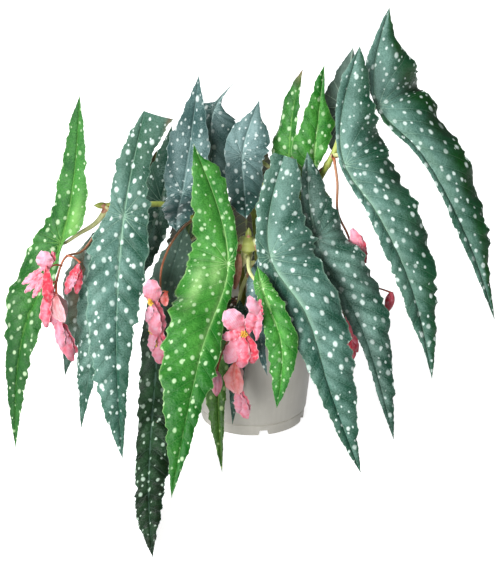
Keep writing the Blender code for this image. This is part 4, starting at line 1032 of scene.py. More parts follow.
def pot_plastic():
    """Polypropylene, injection moulded: a satin warm grey.

    Faint upright flow streaks 4 mm apart and pale dull scuffs 8 mm across break up its even
    colour. The mould grain is drawn at 0.4 mm, coarser than the real one, so that it shows.
    """
    made, tree, shader = new_material("polypropylene_moulded_grey", IOR=1.49, Specular_IOR_Level=0.4)
    place = add(tree, "TexCoord", out="Object")
    upright = add(tree, "Mapping", feeds={"Vector": place, "Scale": (240.0, 240.0, 9.0)})
    streak = add(tree, "TexNoise", feeds={"Vector": upright, "Scale": 1.0, "Detail": 3.0})
    cloud = add(tree, "TexNoise", feeds={"Vector": place, "Scale": 34.0, "Detail": 4.0})
    grain = add(tree, "TexNoise", feeds={"Vector": place, "Scale": 2400.0, "Detail": 1.0})
    mixed = add(tree, "Math", {"operation": "MULTIPLY_ADD"}, {0: streak, 1: 0.6, 2: cloud})
    mixed = add(tree, "MapRange", feeds={0: mixed, 1: 0.62, 2: 1.0})
    scuff = add(tree, "TexNoise", feeds={"Vector": place, "Scale": 120.0, "Detail": 6.0})
    scuff = add(tree, "MapRange", feeds={0: scuff, 1: 0.60, 2: 0.72, 3: 0.0, 4: 0.3})
    gloss = add(tree, "Math", {"operation": "MULTIPLY_ADD"}, {0: scuff, 1: 0.5, 2: 0.42})
    layers = (mixed, "#d4d1c7"), (scuff, "#e4e1d8")
    finish_skin(tree, shader, "#ccc9be", layers, ((grain, 1.0), (streak, 0.5)), 0.25, 0.15, gloss)
    return made


# Upper faces, one for each colour of leaf: dark green, greyer green of the bloom and its painted
# sheen, deep green of the painted shade at the edges, spot, vein and pale skin, which also serves
# for painted light, how far the spots show, and how small they are
LEAF_COLOURS = {
    "mid_green": ("#15581b", "#529c44", "#0a4713", "#cdeabb", "#8fca68", 0.80, 0.80),
    "blue_green": ("#1f4f3e", "#6e968a", "#0b4413", "#dff2ea", "#a4cab0", 0.92, 0.88),
    "dark_green": ("#1e4d3c", "#82a99c", "#0f3a1c", "#dcefe8", "#9bbda9", 0.90, 0.86),
    "deep_green": ("#07210b", "#35593a", "#061c08", "#c2dac6", "#86aa9c", 0.78, 0.85),
    "grey_green": ("#355a57", "#85a4a3", "#1d4438", "#e3f1ee", "#b0cdc8", 0.92, 0.88),
    "bright_green": ("#186b19", "#5aa845", "#0d5214", "#cdeebb", "#b4df92", 0.78, 0.78),
    "olive_green": ("#274d15", "#507d34", "#1c3d0f", "#a8c486", "#8aa75a", 0.65, 0.8),
}
UPPER = {name: leaf_face("waxy_leaf_" + name, *recipe) for name, recipe in LEAF_COLOURS.items()}
UNDERSIDES = {
    "green": leaf_underside("dull_leaf_underside_green", "#264a1f", "#477236", "#7fa056"),
    "red": leaf_underside("dull_leaf_underside_olive_red", "#22391c", "#4c452a", "#66703f"),
    "grey": leaf_underside("dull_leaf_underside_grey", "#3f564c", "#6d857b", "#8fa596"),
}
UNDERSIDE_OF = {
    "mid_green": "green", "bright_green": "green", "olive_green": "green", "grey_green": "grey",
}
CANE = stem_skin("fleshy_cane_green", "#7c9038", "#a9bc4e", "#86603a", "#d0da7c")
PETIOLE = stem_skin("fleshy_leaf_stalk_pale", "#b9c86c", "#dde29c", "#b98462", "#ecebbd")
FLOWER_STALK = stem_skin("fleshy_flower_stalk_red", "#a06a4c", "#c48a68", "#c0502f", "#d9ab86")
TEPAL = petal_skin("moist_tepal_pink", "#ef3f56", "#ffc6de", "#fff0f6")
OVARY = petal_skin("fleshy_winged_ovary_red", "#dc4a3a", "#ffc9d0", "#ffd8c8")

# Dry papery stipules, mottled at 4 mm; pollen, whose grains are too fine to show and are drawn
# as clumps of 1 mm; flaky bark; damp dark peat in crumbs of 3 mm; and dusty perlite with pores
STIPULE = mottled("papery_stipule", "#b5725e", "#d8a98a", 260.0, 0.6, 0.2, 1.45)
STAMEN = mottled("pollen_yellow", "#eeb52a", "#f8dc6e", 900.0, 0.7, 0.2, 1.45)
BARK = mottled("composted_bark", "#3a2418", "#6b4a33", 500.0, 0.9, 0.5, 1.5)
PEAT = mottled("damp_peat", "#1f150f", "#4a3526", 380.0, 0.95, 0.8, 1.5)
PERLITE = mottled("expanded_perlite", "#cfcac0", "#efece4", 900.0, 0.9, 0.3, 1.5)
PLASTIC = pot_plastic()


# Leaves


def lobe_lengths(spine):
    """A leaf's length from the ear's tip to the leaf stalk, and from there to the blade's tip."""
    ear = np.linalg.norm(np.subtract(spine[1], spine[0]))
    return ear, curve_length(spine) - ear


def lobing(along, ear, blade):
    """From -1 in a notch of the outline to 1 on a lobe's point, on straight lines between.

    A lobe's point is seven tenths of the way from one notch to the next, towards the blade's tip.
    At the leaf stalk and at the blade's tip it is nought.
    """
    rows = [(-0.06, 0), (0.0, 0), (1.0, 0)]
    for start, end, length in ((-1.0, -0.06, ear), (0.06, 1.0, blade)):
        spacing = LOBE_LENGTH if length > SHORT_LOBE else 2 * LOBE_LENGTH
        count = max(1, round(length * (end - start) / spacing))
        step = (end - start) / count
        for k in range(count):
            rows += [(start + k * step, -1), (start + (k + 0.7) * step, 1)]
    places, kinds = np.array(sorted(rows)).T
    return np.interp(along, places, kinds)


def teeth(at, ear, spacing, lean, phase):
    """From -1 in a notch to 1 on a tooth, on teeth that lean away from the leaf stalk.

    The place among the teeth is the length from the stalk over the spacing, pushed to and fro by
    a slow wave, so that the teeth are uneven.
    """
    away = np.abs(at - ear)
    place = (away / spacing + 0.22 * np.sin(away / (1.9 * spacing) + phase) + phase) % 1
    return 2 * np.minimum(place / lean, (1 - place) / (1 - lean)) - 1


def half_widths(outline, at, along, ear, blade, phase):
    """The left and the right half width of a blade, down its length.

    Each is the outline times one plus the lobing, plus steps and small teeth. Two waves make the
    steps uneven, and steps and teeth are less deep where the blade is narrow.
    """
    halves = []
    for column, shift in ((1, 0.0), (2, 0.4)):
        half = smooth_table(along, outline[:, 0], outline[:, column])
        half = half * (1 + LOBE_DEPTH * lobing(along, ear, blade))
        step = teeth(at, ear, STEP_LENGTH, 0.74, phase / 7 + shift)
        tooth = teeth(at, ear, TOOTH_LENGTH, 0.70, phase / 5 + 2 * shift)
        uneven = 1 + np.sin(at / 17 + phase + 9 * shift)
        uneven = 0.25 + 0.45 * uneven * (1 + 0.8 * np.sin(at / 6.1 + 2 * phase + 5 * shift))
        half = half + STEP_DEPTH / 2 * step * uneven * np.clip(half / 20, 0, 1)
        half = half + TOOTH_DEPTH / 2 * tooth * np.clip(half / 8, 0, 1)
        halves.append(np.maximum(half, LEAST_HALF_WIDTH))
    return halves


def leaf_frame(leaf, at):
    """Midrib points, face normals and sideways directions at lengths down a leaf's spine."""
    facing, spine = LEAVES[leaf][3:]
    middle, going = smooth_curve(spine, at)
    facing = unit(facing)
    normal = unit(facing - (going @ facing)[:, None] * going)
    return middle, normal, np.cross(normal, going)


def vein_places(reach, below):
    """Where a point lies among the veins, in vein spacings, and the spacings in a millimetre.

    Below the stalk, side veins leave the midrib and lean to the tip, so the place is the length
    below the stalk less the lean times the reach. Above it they fan out from the stalk, so the
    place is the angle past the first side vein. A whole number is the middle of a vein.
    """
    side = (below - VEIN_LEAN * reach) / VEIN_SPACING
    first = math.atan2(1, VEIN_LEAN)
    step = (math.pi - first) / FAN_VEINS
    fanned = side < 0
    place = np.where(fanned, (first - np.arctan2(reach, below)) / step, side)
    lined = math.hypot(1, VEIN_LEAN) / VEIN_SPACING
    away = np.maximum(np.hypot(reach, below), 0.5)
    return place, np.where(fanned, 1 / (away * step), lined)


def leaf_looks(leaf, width, along, u, across, below):
    """What a leaf's materials read at each point.

    The marks are its place among the veins, half a vein's width in vein spacings and its nearness
    to the margin. The tones are how pale, partly from pale midribs and partly from painted light, how
    crowded with small spots and how brown it is. The looks are how far the veins show, how grey its
    bloom and painted sheen are and how deep its green is from painted shade.
    """
    reach, edge = np.abs(across), np.abs(u)
    place, per_mm = vein_places(reach, below)
    pucker = 0.5 - 0.5 * np.cos(TURN * place)
    half_vein = VEIN_HALF_WIDTH * (1 - 0.55 * edge) * per_mm
    midrib = hump(reach, 1.4 * (1.25 - np.abs(along)))
    on_midrib = midrib > 0.35
    place = np.where(on_midrib, np.round(place) + 0.6 * half_vein * (1 - midrib), place)

    patches = np.zeros((3, *across.shape))
    for kind, x, y, half_x, half_y, amount in PATCHES.get(leaf, ()):
        patches[kind] += amount * hump(across - x, half_x) * hump(below - y, half_y)
    ear_tip = np.clip((-along - 0.05) / 0.5, 0, 1)
    tip = np.clip((along - 0.5) / 0.4, 0, 1)
    crowded = SPECKLED.get(leaf, PLAIN_SPECKLE) + 0.15 * edge**3 + 0.55 * ear_tip + 0.65 * tip

    shown = 0.06 + 0.58 * np.exp(-np.hypot(reach, below) / (0.32 * min(width, VEINED_WIDTH)))
    shown = np.where(on_midrib, 0.14 + 0.38 * np.exp(-np.abs(below) / 55), shown)
    # The bloom is partly the leaf's own and partly a painted sheen: lighter on the halves turned to the
    # light, a painted highlight on the bulges between the veins and painted shade in their grooves. It
    # turns greener towards the blade's tip.
    blooms = BLOOM_AND_SHEEN.get(leaf, PLAIN_BLOOM_AND_SHEEN)
    outward = np.clip((edge - 0.3) / 0.5, 0, 1)
    left, right = (np.interp(outward, (0, 1), half) for half in (blooms[:2], blooms[2:]))
    bloom_and_sheen = 0.42 + np.where(u < 0, left, right) + 0.30 * (pucker - 0.5)
    bloom_and_sheen = bloom_and_sheen - 0.45 * np.clip(along - 0.25, 0, 1)
    # Painted shade: a deep green over the outer part of each half and in the shade patches, and darker
    # towards the blade's tip.
    shade_left, shade_right = EDGE_SHADES.get(leaf, PLAIN_EDGE_SHADE)
    deep = np.where(u < 0, shade_left, shade_right) * np.clip((edge - 0.35) / 0.4, 0, 1)
    deep = np.clip(deep + patches[SHADE] + 0.30 * np.clip(along - 0.45, 0, 1), 0, 1)
    marks = beside(place, half_vein, edge)
    return marks, beside(patches[PALE_AND_LIT], crowded, patches[BROWN]), beside(shown, bloom_and_sheen, deep)


def build_leaf(leaf):
    """A thin closed blade, its veins sunk and the skin between them puckered.

    A point lies its share of the half width to the side of the midrib. It is lifted along the
    normal by the fold, less the droop of the edge and a groove at the midrib, plus a fullness that
    is greatest half way to the edge, a wave down the blade, a finer ripple at the margin and a
    pucker that is nought on a vein. The letters of its name give one of seven phases.
    """
    colour, outline, fold, _, spine = LEAVES[leaf]
    ear, blade = lobe_lengths(spine)
    length = ear + blade
    phase = sum(ord(letter) for letter in leaf) % 7
    share = np.linspace(0, 1, int(np.clip(length / ROW_STEP, LEAST_ROWS, MOST_ROWS)))
    at = length * (share - 0.3 * np.sin(TURN * share) / TURN)
    along = np.where(at < ear, at / ear - 1, (at - ear) / blade)
    outline = np.array(outline, float)
    width = outline[:, 1:].sum(1).max()
    left, right = half_widths(outline, at, along, ear, blade, phase)
    u = np.linspace(-1, 1, 2 * HALF_COLUMNS + 1)[None, :]
    spread = np.sign(u) * np.abs(u) ** 1.2
    across = np.where(u < 0, left[:, None], right[:, None]) * spread
    reach, down = np.abs(across), at[:, None]
    below = down - ear
    place, _ = vein_places(reach, below)

    lift = fold * reach - 2 * EDGE_DROOP * reach**2 / width
    lift += FULLNESS * reach * (1 - np.abs(spread))
    wave = np.sin(TURN * down / WAVE_LENGTH + phase + np.sign(across))
    lift += WAVE_HEIGHT * (reach / (0.6 * width)) ** 2 * wave
    ripple = np.sin(TURN * down / RIPPLE_LENGTH + 2 * phase + 1.3 * np.sign(across))
    lift += RIPPLE_HEIGHT * np.abs(u) ** 3 * ripple * np.clip(reach / 10, 0, 1)
    pucker = 0.5 - 0.5 * np.cos(TURN * place)
    lift += PUCKER * pucker * (1 - u**4) * reach / (reach + 4)
    lift -= 0.5 * hump(reach, 1.3)
    middle, normal, side = leaf_frame(leaf, at)
    grid = middle[:, None] + side[:, None] * across[..., None] + normal[:, None] * lift[..., None]

    # Of the sheet's six sets of faces, the second is the lower side. A shift on the flat varies
    # the spots from leaf to leaf.
    points, faces = closed_sheet(grid, BLADE_THICKNESS * (1 - 0.4 * np.abs(u) ** 2))
    finish = np.concatenate([np.full(len(f), k == 1) for k, f in enumerate(faces)]).astype(int)
    read = leaf_looks(leaf, width, along[:, None], u, across, below)
    flat = beside(across + 211.0 * (phase + 1), below + 97.0 * (len(leaf) + phase))
    both = [np.concatenate([v.reshape(-1, v.shape[-1])] * 2) for v in (*read, flat)]
    piece = Piece(UPPER[colour], UNDERSIDES[UNDERSIDE_OF.get(colour, "red")])
    piece.add(points, faces, finish, *both)
    piece.make(leaf + "_blade", leaf)


# Canes, stalks and buds


def tube_rings(route, radius, sides, step):
    """Rings of points round a smooth curve, and each ring's share of the length.

    A ring is a circle square to the curve. It starts from a helper direction that is never
    close to the curve's own, less its part along the curve.
    """
    length = curve_length(route)
    share = np.linspace(0, 1, max(5, int(length / step)))
    middle, ahead = smooth_curve(route, share * length)
    helpers = unit(((1, 0, 0), (0, 1, 0), (0, 0, 1), (1, 1, 0), (1, -1, 0), (1, 0, 1), (0, 1, 1)))
    helper = helpers[np.abs(ahead @ helpers.T).max(0).argmin()]
    side = unit(helper - (ahead @ helper)[:, None] * ahead)
    turn = np.linspace(0, TURN, sides, endpoint=False)[None, :]
    way = way_round(side[:, None], np.cross(ahead, side)[:, None], turn)
    return middle[:, None] + radius(share, turn)[..., None] * way, share


def add_stem(piece, route, sides, step, finish, radius, blush):
    """Adds a closed stem. blush gives how far it blushes and how pale it is, down its length."""
    rings, share = tube_rings(route, radius, sides, step)
    points, faces = closed_tube(rings)
    marks = np.repeat(beside(*blush(share), 0), sides, axis=0)
    piece.add(points, faces, finish, with_ends(marks))


def add_scale(
    piece, finish, thickness, foot, ahead, out, length, width, bulge, edge,
    tint=(0, 0), rows=9, columns=7, full=0.72, ruffle=0.0,
):
    """Adds a thin closed tepal, stipule or bud scale.

    Down the middle, a point goes ahead by its share of the length and outwards by the bulge at
    that share. Its half width is the width times a power of the sine of half a turn of the share
    to the power full, which is widest nearer the tip when full is more than one. Its edges are
    bent outwards by edge times the half width times the square of the place across, and
    ruffled by a wave that grows to the edge. Its marks are the place across and the tint.
    """
    ahead, out = unit(ahead), np.asarray(out, float)
    across = np.cross(out, ahead)
    v = np.linspace(0, 1, rows)[:, None]
    u = np.linspace(-1, 1, columns)[None, :]
    half = width * np.maximum(np.sin(math.pi * np.clip(v, 0.02, 0.985) ** full), 0.0) ** 0.55
    outwards = bulge(v) + edge * half * u**2
    outwards = outwards + ruffle * np.abs(u) ** 2.5 * np.sin(19 * v + 2.5 * np.sign(u) + length)
    half = half * (1 + 0.35 * ruffle * np.sin(31 * v + 2 * np.sign(u)) / max(width, 2))
    grid = np.asarray(foot, float) + (v * length)[..., None] * ahead
    grid = grid + outwards[..., None] * out + (half * u)[..., None] * across
    tinted = np.interp(v, (0, 1), tint) - 0.08 + 0.10 * np.cos(5 * u)
    marks = beside(u, tinted, 0).reshape(-1, 3)
    flat = beside(u * half + 31 * grid[0, 0, 0], v * 30.0).reshape(-1, 2)
    points, faces = closed_sheet(grid, thickness)
    piece.add(points, faces, finish, np.vstack([marks, marks]), flat=np.vstack([flat, flat]))


def stalk_route(leaf, route):
    """A leaf stalk's points: from the cane to the leaf's back, met at a right angle."""
    ear, _ = lobe_lengths(LEAVES[leaf][4])
    middle, normal, _ = leaf_frame(leaf, (ear,))
    back = middle[0] - normal[0] * (STALK_GAP + BLADE_THICKNESS / 2)
    return (*route, back - normal[0] * (STALK_END + SOLID_BLADE_THICKNESS / 2), back)


def bunch_stub(bunch, cane_route):
    """The short foot of a bunch's stalk: from the cane's middle to where the stalk starts."""
    stalk = BUNCHES[bunch][0]
    ahead = unit(np.subtract(stalk[1], stalk[0]))
    end = np.asarray(stalk[0], float)
    line, _ = smooth_curve(cane_route, np.linspace(0, curve_length(cane_route), 200))
    start = line[np.linalg.norm(line - (end - 4 * ahead), axis=1).argmin()]
    return start, end - 3 * ahead, end + 2 * ahead


def cane_shape(cane, length):
    """A cane's radius, and how far it blushes and how pale it is, at shares of its length.

    The radius narrows from foot to tip, swells at each node, which has a thin scar round it, and
    at the cane's fleshy swellings, and closes at both ends. The nodes blush, and so does the
    foot. The tip is young and pale, and the swellings are painted paler, as painted light.
    """
    swellings = SWELLINGS.get(cane, ())

    def radius(share, turn):
        at = share * length
        plain = np.interp(share, (0, 1), (CANE_FOOT_RADIUS, CANE_TIP_RADIUS))
        for middle, extra, low, high in swellings:
            plain = plain + extra * hump(at - middle, np.where(at < middle, low, high))
        ring = np.clip(np.cos(at / NODE_SPACING * TURN), 0, 1)
        above = np.clip((at - 70) / 20, 0, 1)
        swell = (1 + (NODE_SWELL - 1) * ring**8 * above) * (1 + 0.06 * ring**150 * above)
        close = np.clip(at / 2, 0.3, 1) * np.sqrt(np.clip((length - at) / 4, 0.05, 1))
        return (plain * swell * close)[:, None] * (1 + 0.025 * np.cos(5 * turn))

    def blush(share):
        at = share * length
        ring = np.clip(np.cos(at / NODE_SPACING * TURN), 0, 1) ** 24
        low = np.clip(1 - (at - 60) / 60, 0, 1)
        fresh_and_lit = np.clip(4 * share - 2.8, 0, 0.85)
        # The swellings are painted paler, as painted light where shade falls on them.
        for middle, extra, _, high in swellings:
            fresh_and_lit = fresh_and_lit + 0.11 * extra * hump(at - middle, 2 * high)
        return 0.35 * ring * (share < 0.85) + 0.35 * low, np.clip(fresh_and_lit, 0, 0.9)

    return radius, blush


def stalk_shape(thick):
    """A leaf stalk's radius, which grows at both ends, how far it blushes and how pale it is."""

    def radius(share, turn):
        plain = np.interp(share, (0, 1), (thick, STALK_TIP_RADIUS))
        ends = (1 + 0.35 * hump(share, 0.10)) * (1 + 0.45 * hump(1 - share, 0.06))
        return (plain * ends)[:, None] * (1 + 0.03 * np.cos(4 * turn))

    def blush(share):
        # A stouter stalk is painted paler, as painted light where shade falls on it.
        fresh_and_lit = 0.25 + 0.2 * (thick - STALK_RADIUS) + 0.3 * hump(1 - share, 0.15)
        return 0.25 * hump(share, 0.06), fresh_and_lit

    return radius, blush


def build_cane(cane):
    """A jointed cane with its leaf stalks, stipules, end bud and the feet of its flower stalks."""
    route, stalks, bunches = CANES[cane]
    piece = Piece(CANE, PETIOLE, FLOWER_STALK, STIPULE)
    shape = cane_shape(cane, curve_length(route))
    add_stem(piece, route, CANE_SIDES, CANE_STEP, CANE, *shape)
    for leaf, points in stalks:
        thick = STALK_RADII.get(leaf, STALK_RADIUS)
        whole = stalk_route(leaf, points)
        add_stem(piece, whole, LEAF_STALK_SIDES, STEM_STEP, PETIOLE, *stalk_shape(thick))
        if leaf not in UNSHEATHED:
            add_stipules(piece, points[0], unit(np.subtract(points[1], points[0])), thick)
    for foot, ahead, length, half in SHEATHS.get(cane, ()):
        ahead = unit(ahead)
        add_scale(
            piece, STIPULE, SHEATH_THICKNESS, foot, ahead, unit(ahead[1] * ahead - Y), length, half,
            lambda v: 2.5 * v * (1 - v), -0.5, rows=14, full=0.85, ruffle=0.3,
        )
    for bunch in bunches:
        add_stem(
            piece, bunch_stub(bunch, route), FLOWER_STALK_SIDES, SHORT_STEP, FLOWER_STALK,
            lambda share, turn: PEDUNCLE_RADIUS * (1.25 - 0.2 * share)[:, None],
            lambda share: (1 - share, 0),
        )
    add_bud(piece, np.array(route[-1], float), unit(np.subtract(route[-1], route[-2])))
    piece.make(cane + "_stems", cane)


def add_stipules(piece, joint, ahead, thick):
    """Two papery pointed sheaths that clasp the foot of a leaf stalk, one on each side."""
    first, _ = across_of(ahead)
    for way in (first, -first):
        lean = unit(ahead + 0.25 * way)
        add_scale(
            piece, STIPULE, SCALE_THICKNESS, joint + 0.9 * thick * way, lean,
            unit(way - lean * (way @ lean)), STIPULE_LENGTH, STIPULE_HALF, lambda v: v**2, -0.45,
        )


def add_bud(piece, middle, ahead):
    """An end bud: a folded young leaf between three pointed scales."""
    first, second = across_of(ahead)
    foot = middle - ahead * SHOOT_LENGTH * 0.45

    def young(share, turn):
        plain = SHOOT_WIDTH / 2 * np.sin(math.pi * np.clip(share, 0.03, 0.97) ** 0.8) ** 0.8
        return plain[:, None] * (1 + 0.12 * np.cos(2 * turn))

    route = (foot, middle, middle + ahead * SHOOT_LENGTH * 0.5)
    add_stem(
        piece, route, BUD_SIDES, SHORT_STEP, CANE, young,
        lambda share: (0.6 * (1 - share) ** 2, 0.5 * share),
    )
    for out in way_round(first, second, TURN * np.arange(3) / 3):
        add_scale(
            piece, STIPULE, SCALE_THICKNESS, foot + out, ahead, out, SHOOT_LENGTH * 0.6, BUD_SCALE_HALF,
            lambda v: 6.0 * v * (1 - v) + 0.3, -0.5,
        )


# Flowers


def add_stamens(piece, foot, facing, count):
    """A boss of club-shaped stamens, each a thin filament and a fat anther, fanned on a dome.

    Their directions step round by the golden angle as they go out, which spaces them evenly.
    """
    foot, facing = np.asarray(foot, float), unit(facing)
    first, second = across_of(facing)
    number = np.arange(count)
    around = way_round(first, second, number * math.pi * (3 - math.sqrt(5)))
    way = way_round(facing, around, np.sqrt((number + 0.5) / count))
    helper = unit(np.cross(way, facing + 0.3 * first))
    heights, radii = np.array(STAMEN_PROFILE).T[:, :, None, None]
    sides = np.linspace(0, TURN, 6, endpoint=False)
    circle = way_round(helper[:, None], np.cross(way, helper)[:, None], sides)
    rings = foot + heights * way[:, None, None] + radii * circle[:, None]
    base, faces = closed_tube(rings[0])
    ends = np.stack([rings[:, 0].mean(1), rings[:, -1].mean(1)], axis=1)
    points = np.concatenate([rings.reshape(count, -1, 3), ends], axis=1).reshape(-1, 3)
    piece.add(points, repeated(np.vstack(faces), len(base), count), STAMEN)


def add_tepals(piece, joint, rows):
    """Tepals laid out one by one, bowed to the side that the flower faces."""
    for number, (foot, tip, half, tint) in enumerate(rows):
        ahead = np.subtract(tip, foot).astype(float)
        length = np.linalg.norm(ahead)
        ahead /= length
        facing = unit((0.30 * math.sin(2.1 * number + foot[0]), -1.0, 0.25))
        out = unit(facing - ahead * (facing @ ahead))
        add_scale(
            piece, TEPAL, PETAL_THICKNESS, foot, ahead, out, length, half,
            lambda v, long=length: long * (0.10 * np.sin(math.pi * v) - 0.03 * np.sin(TURN * v)),
            -0.25 + 0.15 * math.sin(3.7 * number), tint, rows=26, columns=13,
            full=1.35 if half > BROAD_TEPAL else 1.05, ruffle=1.3,
        )
    return np.asarray(joint, float)


def add_open_flower(piece, middle, facing, size, tint):
    """Two broad and two narrow tepals in a dish round a boss of stamens."""
    facing = unit(facing)
    foot = np.asarray(middle, float) - facing * 2.0
    turns = TURN * np.arange(4) / 4
    for k, way in enumerate(way_round(*across_of(facing), turns)):
        broad = k % 2 == 1
        length = size * (0.50 if broad else 0.38)
        ahead = unit(0.95 * way + 0.20 * facing)
        out = unit(facing - ahead * (facing @ ahead))
        add_scale(
            piece, TEPAL, PETAL_THICKNESS, foot + way * 0.8, ahead, out, 0.99 * length,
            length * (0.50 if broad else 0.28),
            lambda v, long=length, high=0.9 * broad: long * (0.10 * v + 0.05 * np.sin(5 * v)) + high * v,
            0.22, tint, rows=16, columns=13, full=1.15 if broad else 0.9, ruffle=0.7,
        )
    add_stamens(piece, foot, facing, 24)
    return foot - facing * 2.5


def add_pod(piece, top, end, tint):
    """A three-winged ovary. Its radius is a spindle's plus three thin wings.

    A wing's height is the pod's length times a half sine that leans down, and its cross-section
    is a narrow bell curve of the angle.
    """
    top, end = np.asarray(top, float), np.asarray(end, float)
    length = np.linalg.norm(end - top)
    down = (end - top) / length
    v = np.linspace(0, 1, 16)[:, None]
    turn = np.linspace(0, TURN, 60, endpoint=False)[None, :]
    core = 0.14 * length * np.sin(math.pi * np.clip(v, 0.06, 0.92)) ** 0.5
    wing = length * 0.26 * np.sin(math.pi * np.clip(v, 0.02, 0.97) ** 1.35) ** 0.7
    gap = (turn - 0.5 + TURN / 6) % (TURN / 3) - TURN / 6
    radius = core + wing * hump(gap, 0.13) * (1 + 0.10 * np.sin(17 * v))
    way = way_round(*across_of(down), turn)
    points, faces = closed_tube(top + (v * length)[..., None] * down + radius[..., None] * way)
    tinted = np.interp(v, (0, 1), tint) + 0.25 * hump(gap, 0.2)
    marks = beside(gap / (TURN / 6), tinted, 0)
    flat = beside(9 * turn, v * length)
    piece.add(points, faces, OVARY, with_ends(marks), flat=with_ends(flat))
    return top + down * 0.5


def add_bell(piece, top, down, size, tint):
    """A hanging flower: a three-winged ovary over tepals that flare at their tips."""
    down, top = unit(down), np.asarray(top, float)
    ovary, whole = 0.30 * size, 0.70 * size
    foot = top + down * (ovary - 2.0)
    ways = way_round(*across_of(down), TURN * np.arange(5) / 5)
    for out, (length, wide) in zip(ways, BELL_TEPALS):
        length *= whole
        add_scale(
            piece, TEPAL, PETAL_THICKNESS, foot + out * 0.8, down, out, length, whole * wide,
            lambda v, long=length: long * (0.16 * np.sin(2.4 * v) + 0.10 * v**3),
            -0.45, tint, rows=18, columns=11, full=0.95, ruffle=0.7,
        )
    add_pod(piece, top, top + down * ovary, (tint[0] * 0.5, tint[1] * 0.7))
    return top + down


def add_flower_bud(piece, middle, along, size, tint):
    """A closed bud: a flat egg with a seam where its two outer tepals meet."""
    middle, along = np.asarray(middle, float), unit(along)
    first, second = across_of(along)
    v = np.linspace(0, 1, 20)[:, None]
    turn = np.linspace(0, TURN, 36, endpoint=False)[None, :]
    radius = size * 0.31 * np.sin(math.pi * np.clip(v, 0.01, 0.99) ** 0.85) ** 0.65
    radius = radius * (1 - 0.13 * hump(np.sin(turn), 0.16))
    way = way_round(first, 0.75 * second, turn)
    rings = middle + ((v - 0.5) * size)[..., None] * along + radius[..., None] * way
    points, faces = closed_tube(rings)
    marks = beside(np.sin(turn), np.interp(v, (0, 1), tint), 0)
    flat = beside(7 * turn, v * size)
    piece.add(points, faces, TEPAL, with_ends(marks), flat=with_ends(flat))
    return middle - along * size * 0.45


FLOWER_KINDS = {
    "tepals": add_tepals,
    "open": add_open_flower,
    "bell": add_bell,
    "pod": add_pod,
    "bud": add_flower_bud,
    "stamens": add_stamens,
}


def build_bunch(bunch):
    """A bunch's stalk with its flowers, each one tied to the outer two thirds of the stalk.

    A tie runs from the nearest of a few places on the stalk to the flower's joint, and arches up
    between them. Stamens have no tie.
    """
    route, flowers = BUNCHES[bunch]
    places = round(curve_length(route) / TIE_SPACING) + 1
    line, _ = smooth_curve(route, np.linspace(0, curve_length(route), places))
    line = line[math.ceil(places / 3) :]
    piece = Piece(TEPAL, OVARY, FLOWER_STALK, STAMEN)

    def peduncle(share, turn):
        return ((PEDUNCLE_RADIUS - 0.4 * share) * (1 + 0.25 * hump(1 - share, 0.05)))[:, None]

    def pedicel(share, turn):
        return PEDICEL_RADIUS * (0.85 + 0.4 * (share**6 + (1 - share) ** 6))[:, None]

    add_stem(
        piece, route, FLOWER_STALK_SIDES, STEM_STEP, FLOWER_STALK, peduncle,
        lambda share: (0.4 * share, 0.3 * (1 - share)),
    )
    for kind, *shape in flowers:
        tie = FLOWER_KINDS[kind](piece, *shape)
        if tie is None:
            continue
        away = np.linalg.norm(line - tie, axis=1)
        join = line[away.argmin()]
        hang = (join + tie) / 2 + (0, 0, 0.12 * away.min())
        tied = (join - unit(hang - join), hang, tie + unit(tie - hang) * 1.5)
        add_stem(
            piece, tied, PEDICEL_SIDES, PEDICEL_STEP, FLOWER_STALK, pedicel,
            lambda share: (0.2 + 0.6 * share, 0),
        )
    piece.make(bunch + "_blooms", bunch)


# Pot and potting mix


def rounded(profile, size, steps=3):
    """A profile whose corners are rounded, each by a parabola that starts and ends size away."""
    profile = np.asarray(profile, float)
    corner = profile[1:-1]
    before, after = profile[:-2] - corner, profile[2:] - corner
    shorter = np.minimum(np.linalg.norm(before, axis=1), np.linalg.norm(after, axis=1))
    reach = np.minimum(size, 0.45 * shorter)[:, None]
    a, b = (corner + unit(before) * reach)[:, None], (corner + unit(after) * reach)[:, None]
    t = np.linspace(0, 1, steps + 1)[None, :, None]
    curve = (1 - t) ** 2 * a + 2 * t * (1 - t) * corner[:, None] + t**2 * b
    return np.vstack([profile[:1], curve.reshape(-1, 2), profile[-1:]])


def turned(profile, sides):
    """Rings of a profile of radius and height turned round the Z axis."""
    radius, height = profile.T[:, :, None, None]
    return radius * way_round(X, Y, np.linspace(0, TURN, sides, endpoint=False)) + height * Z


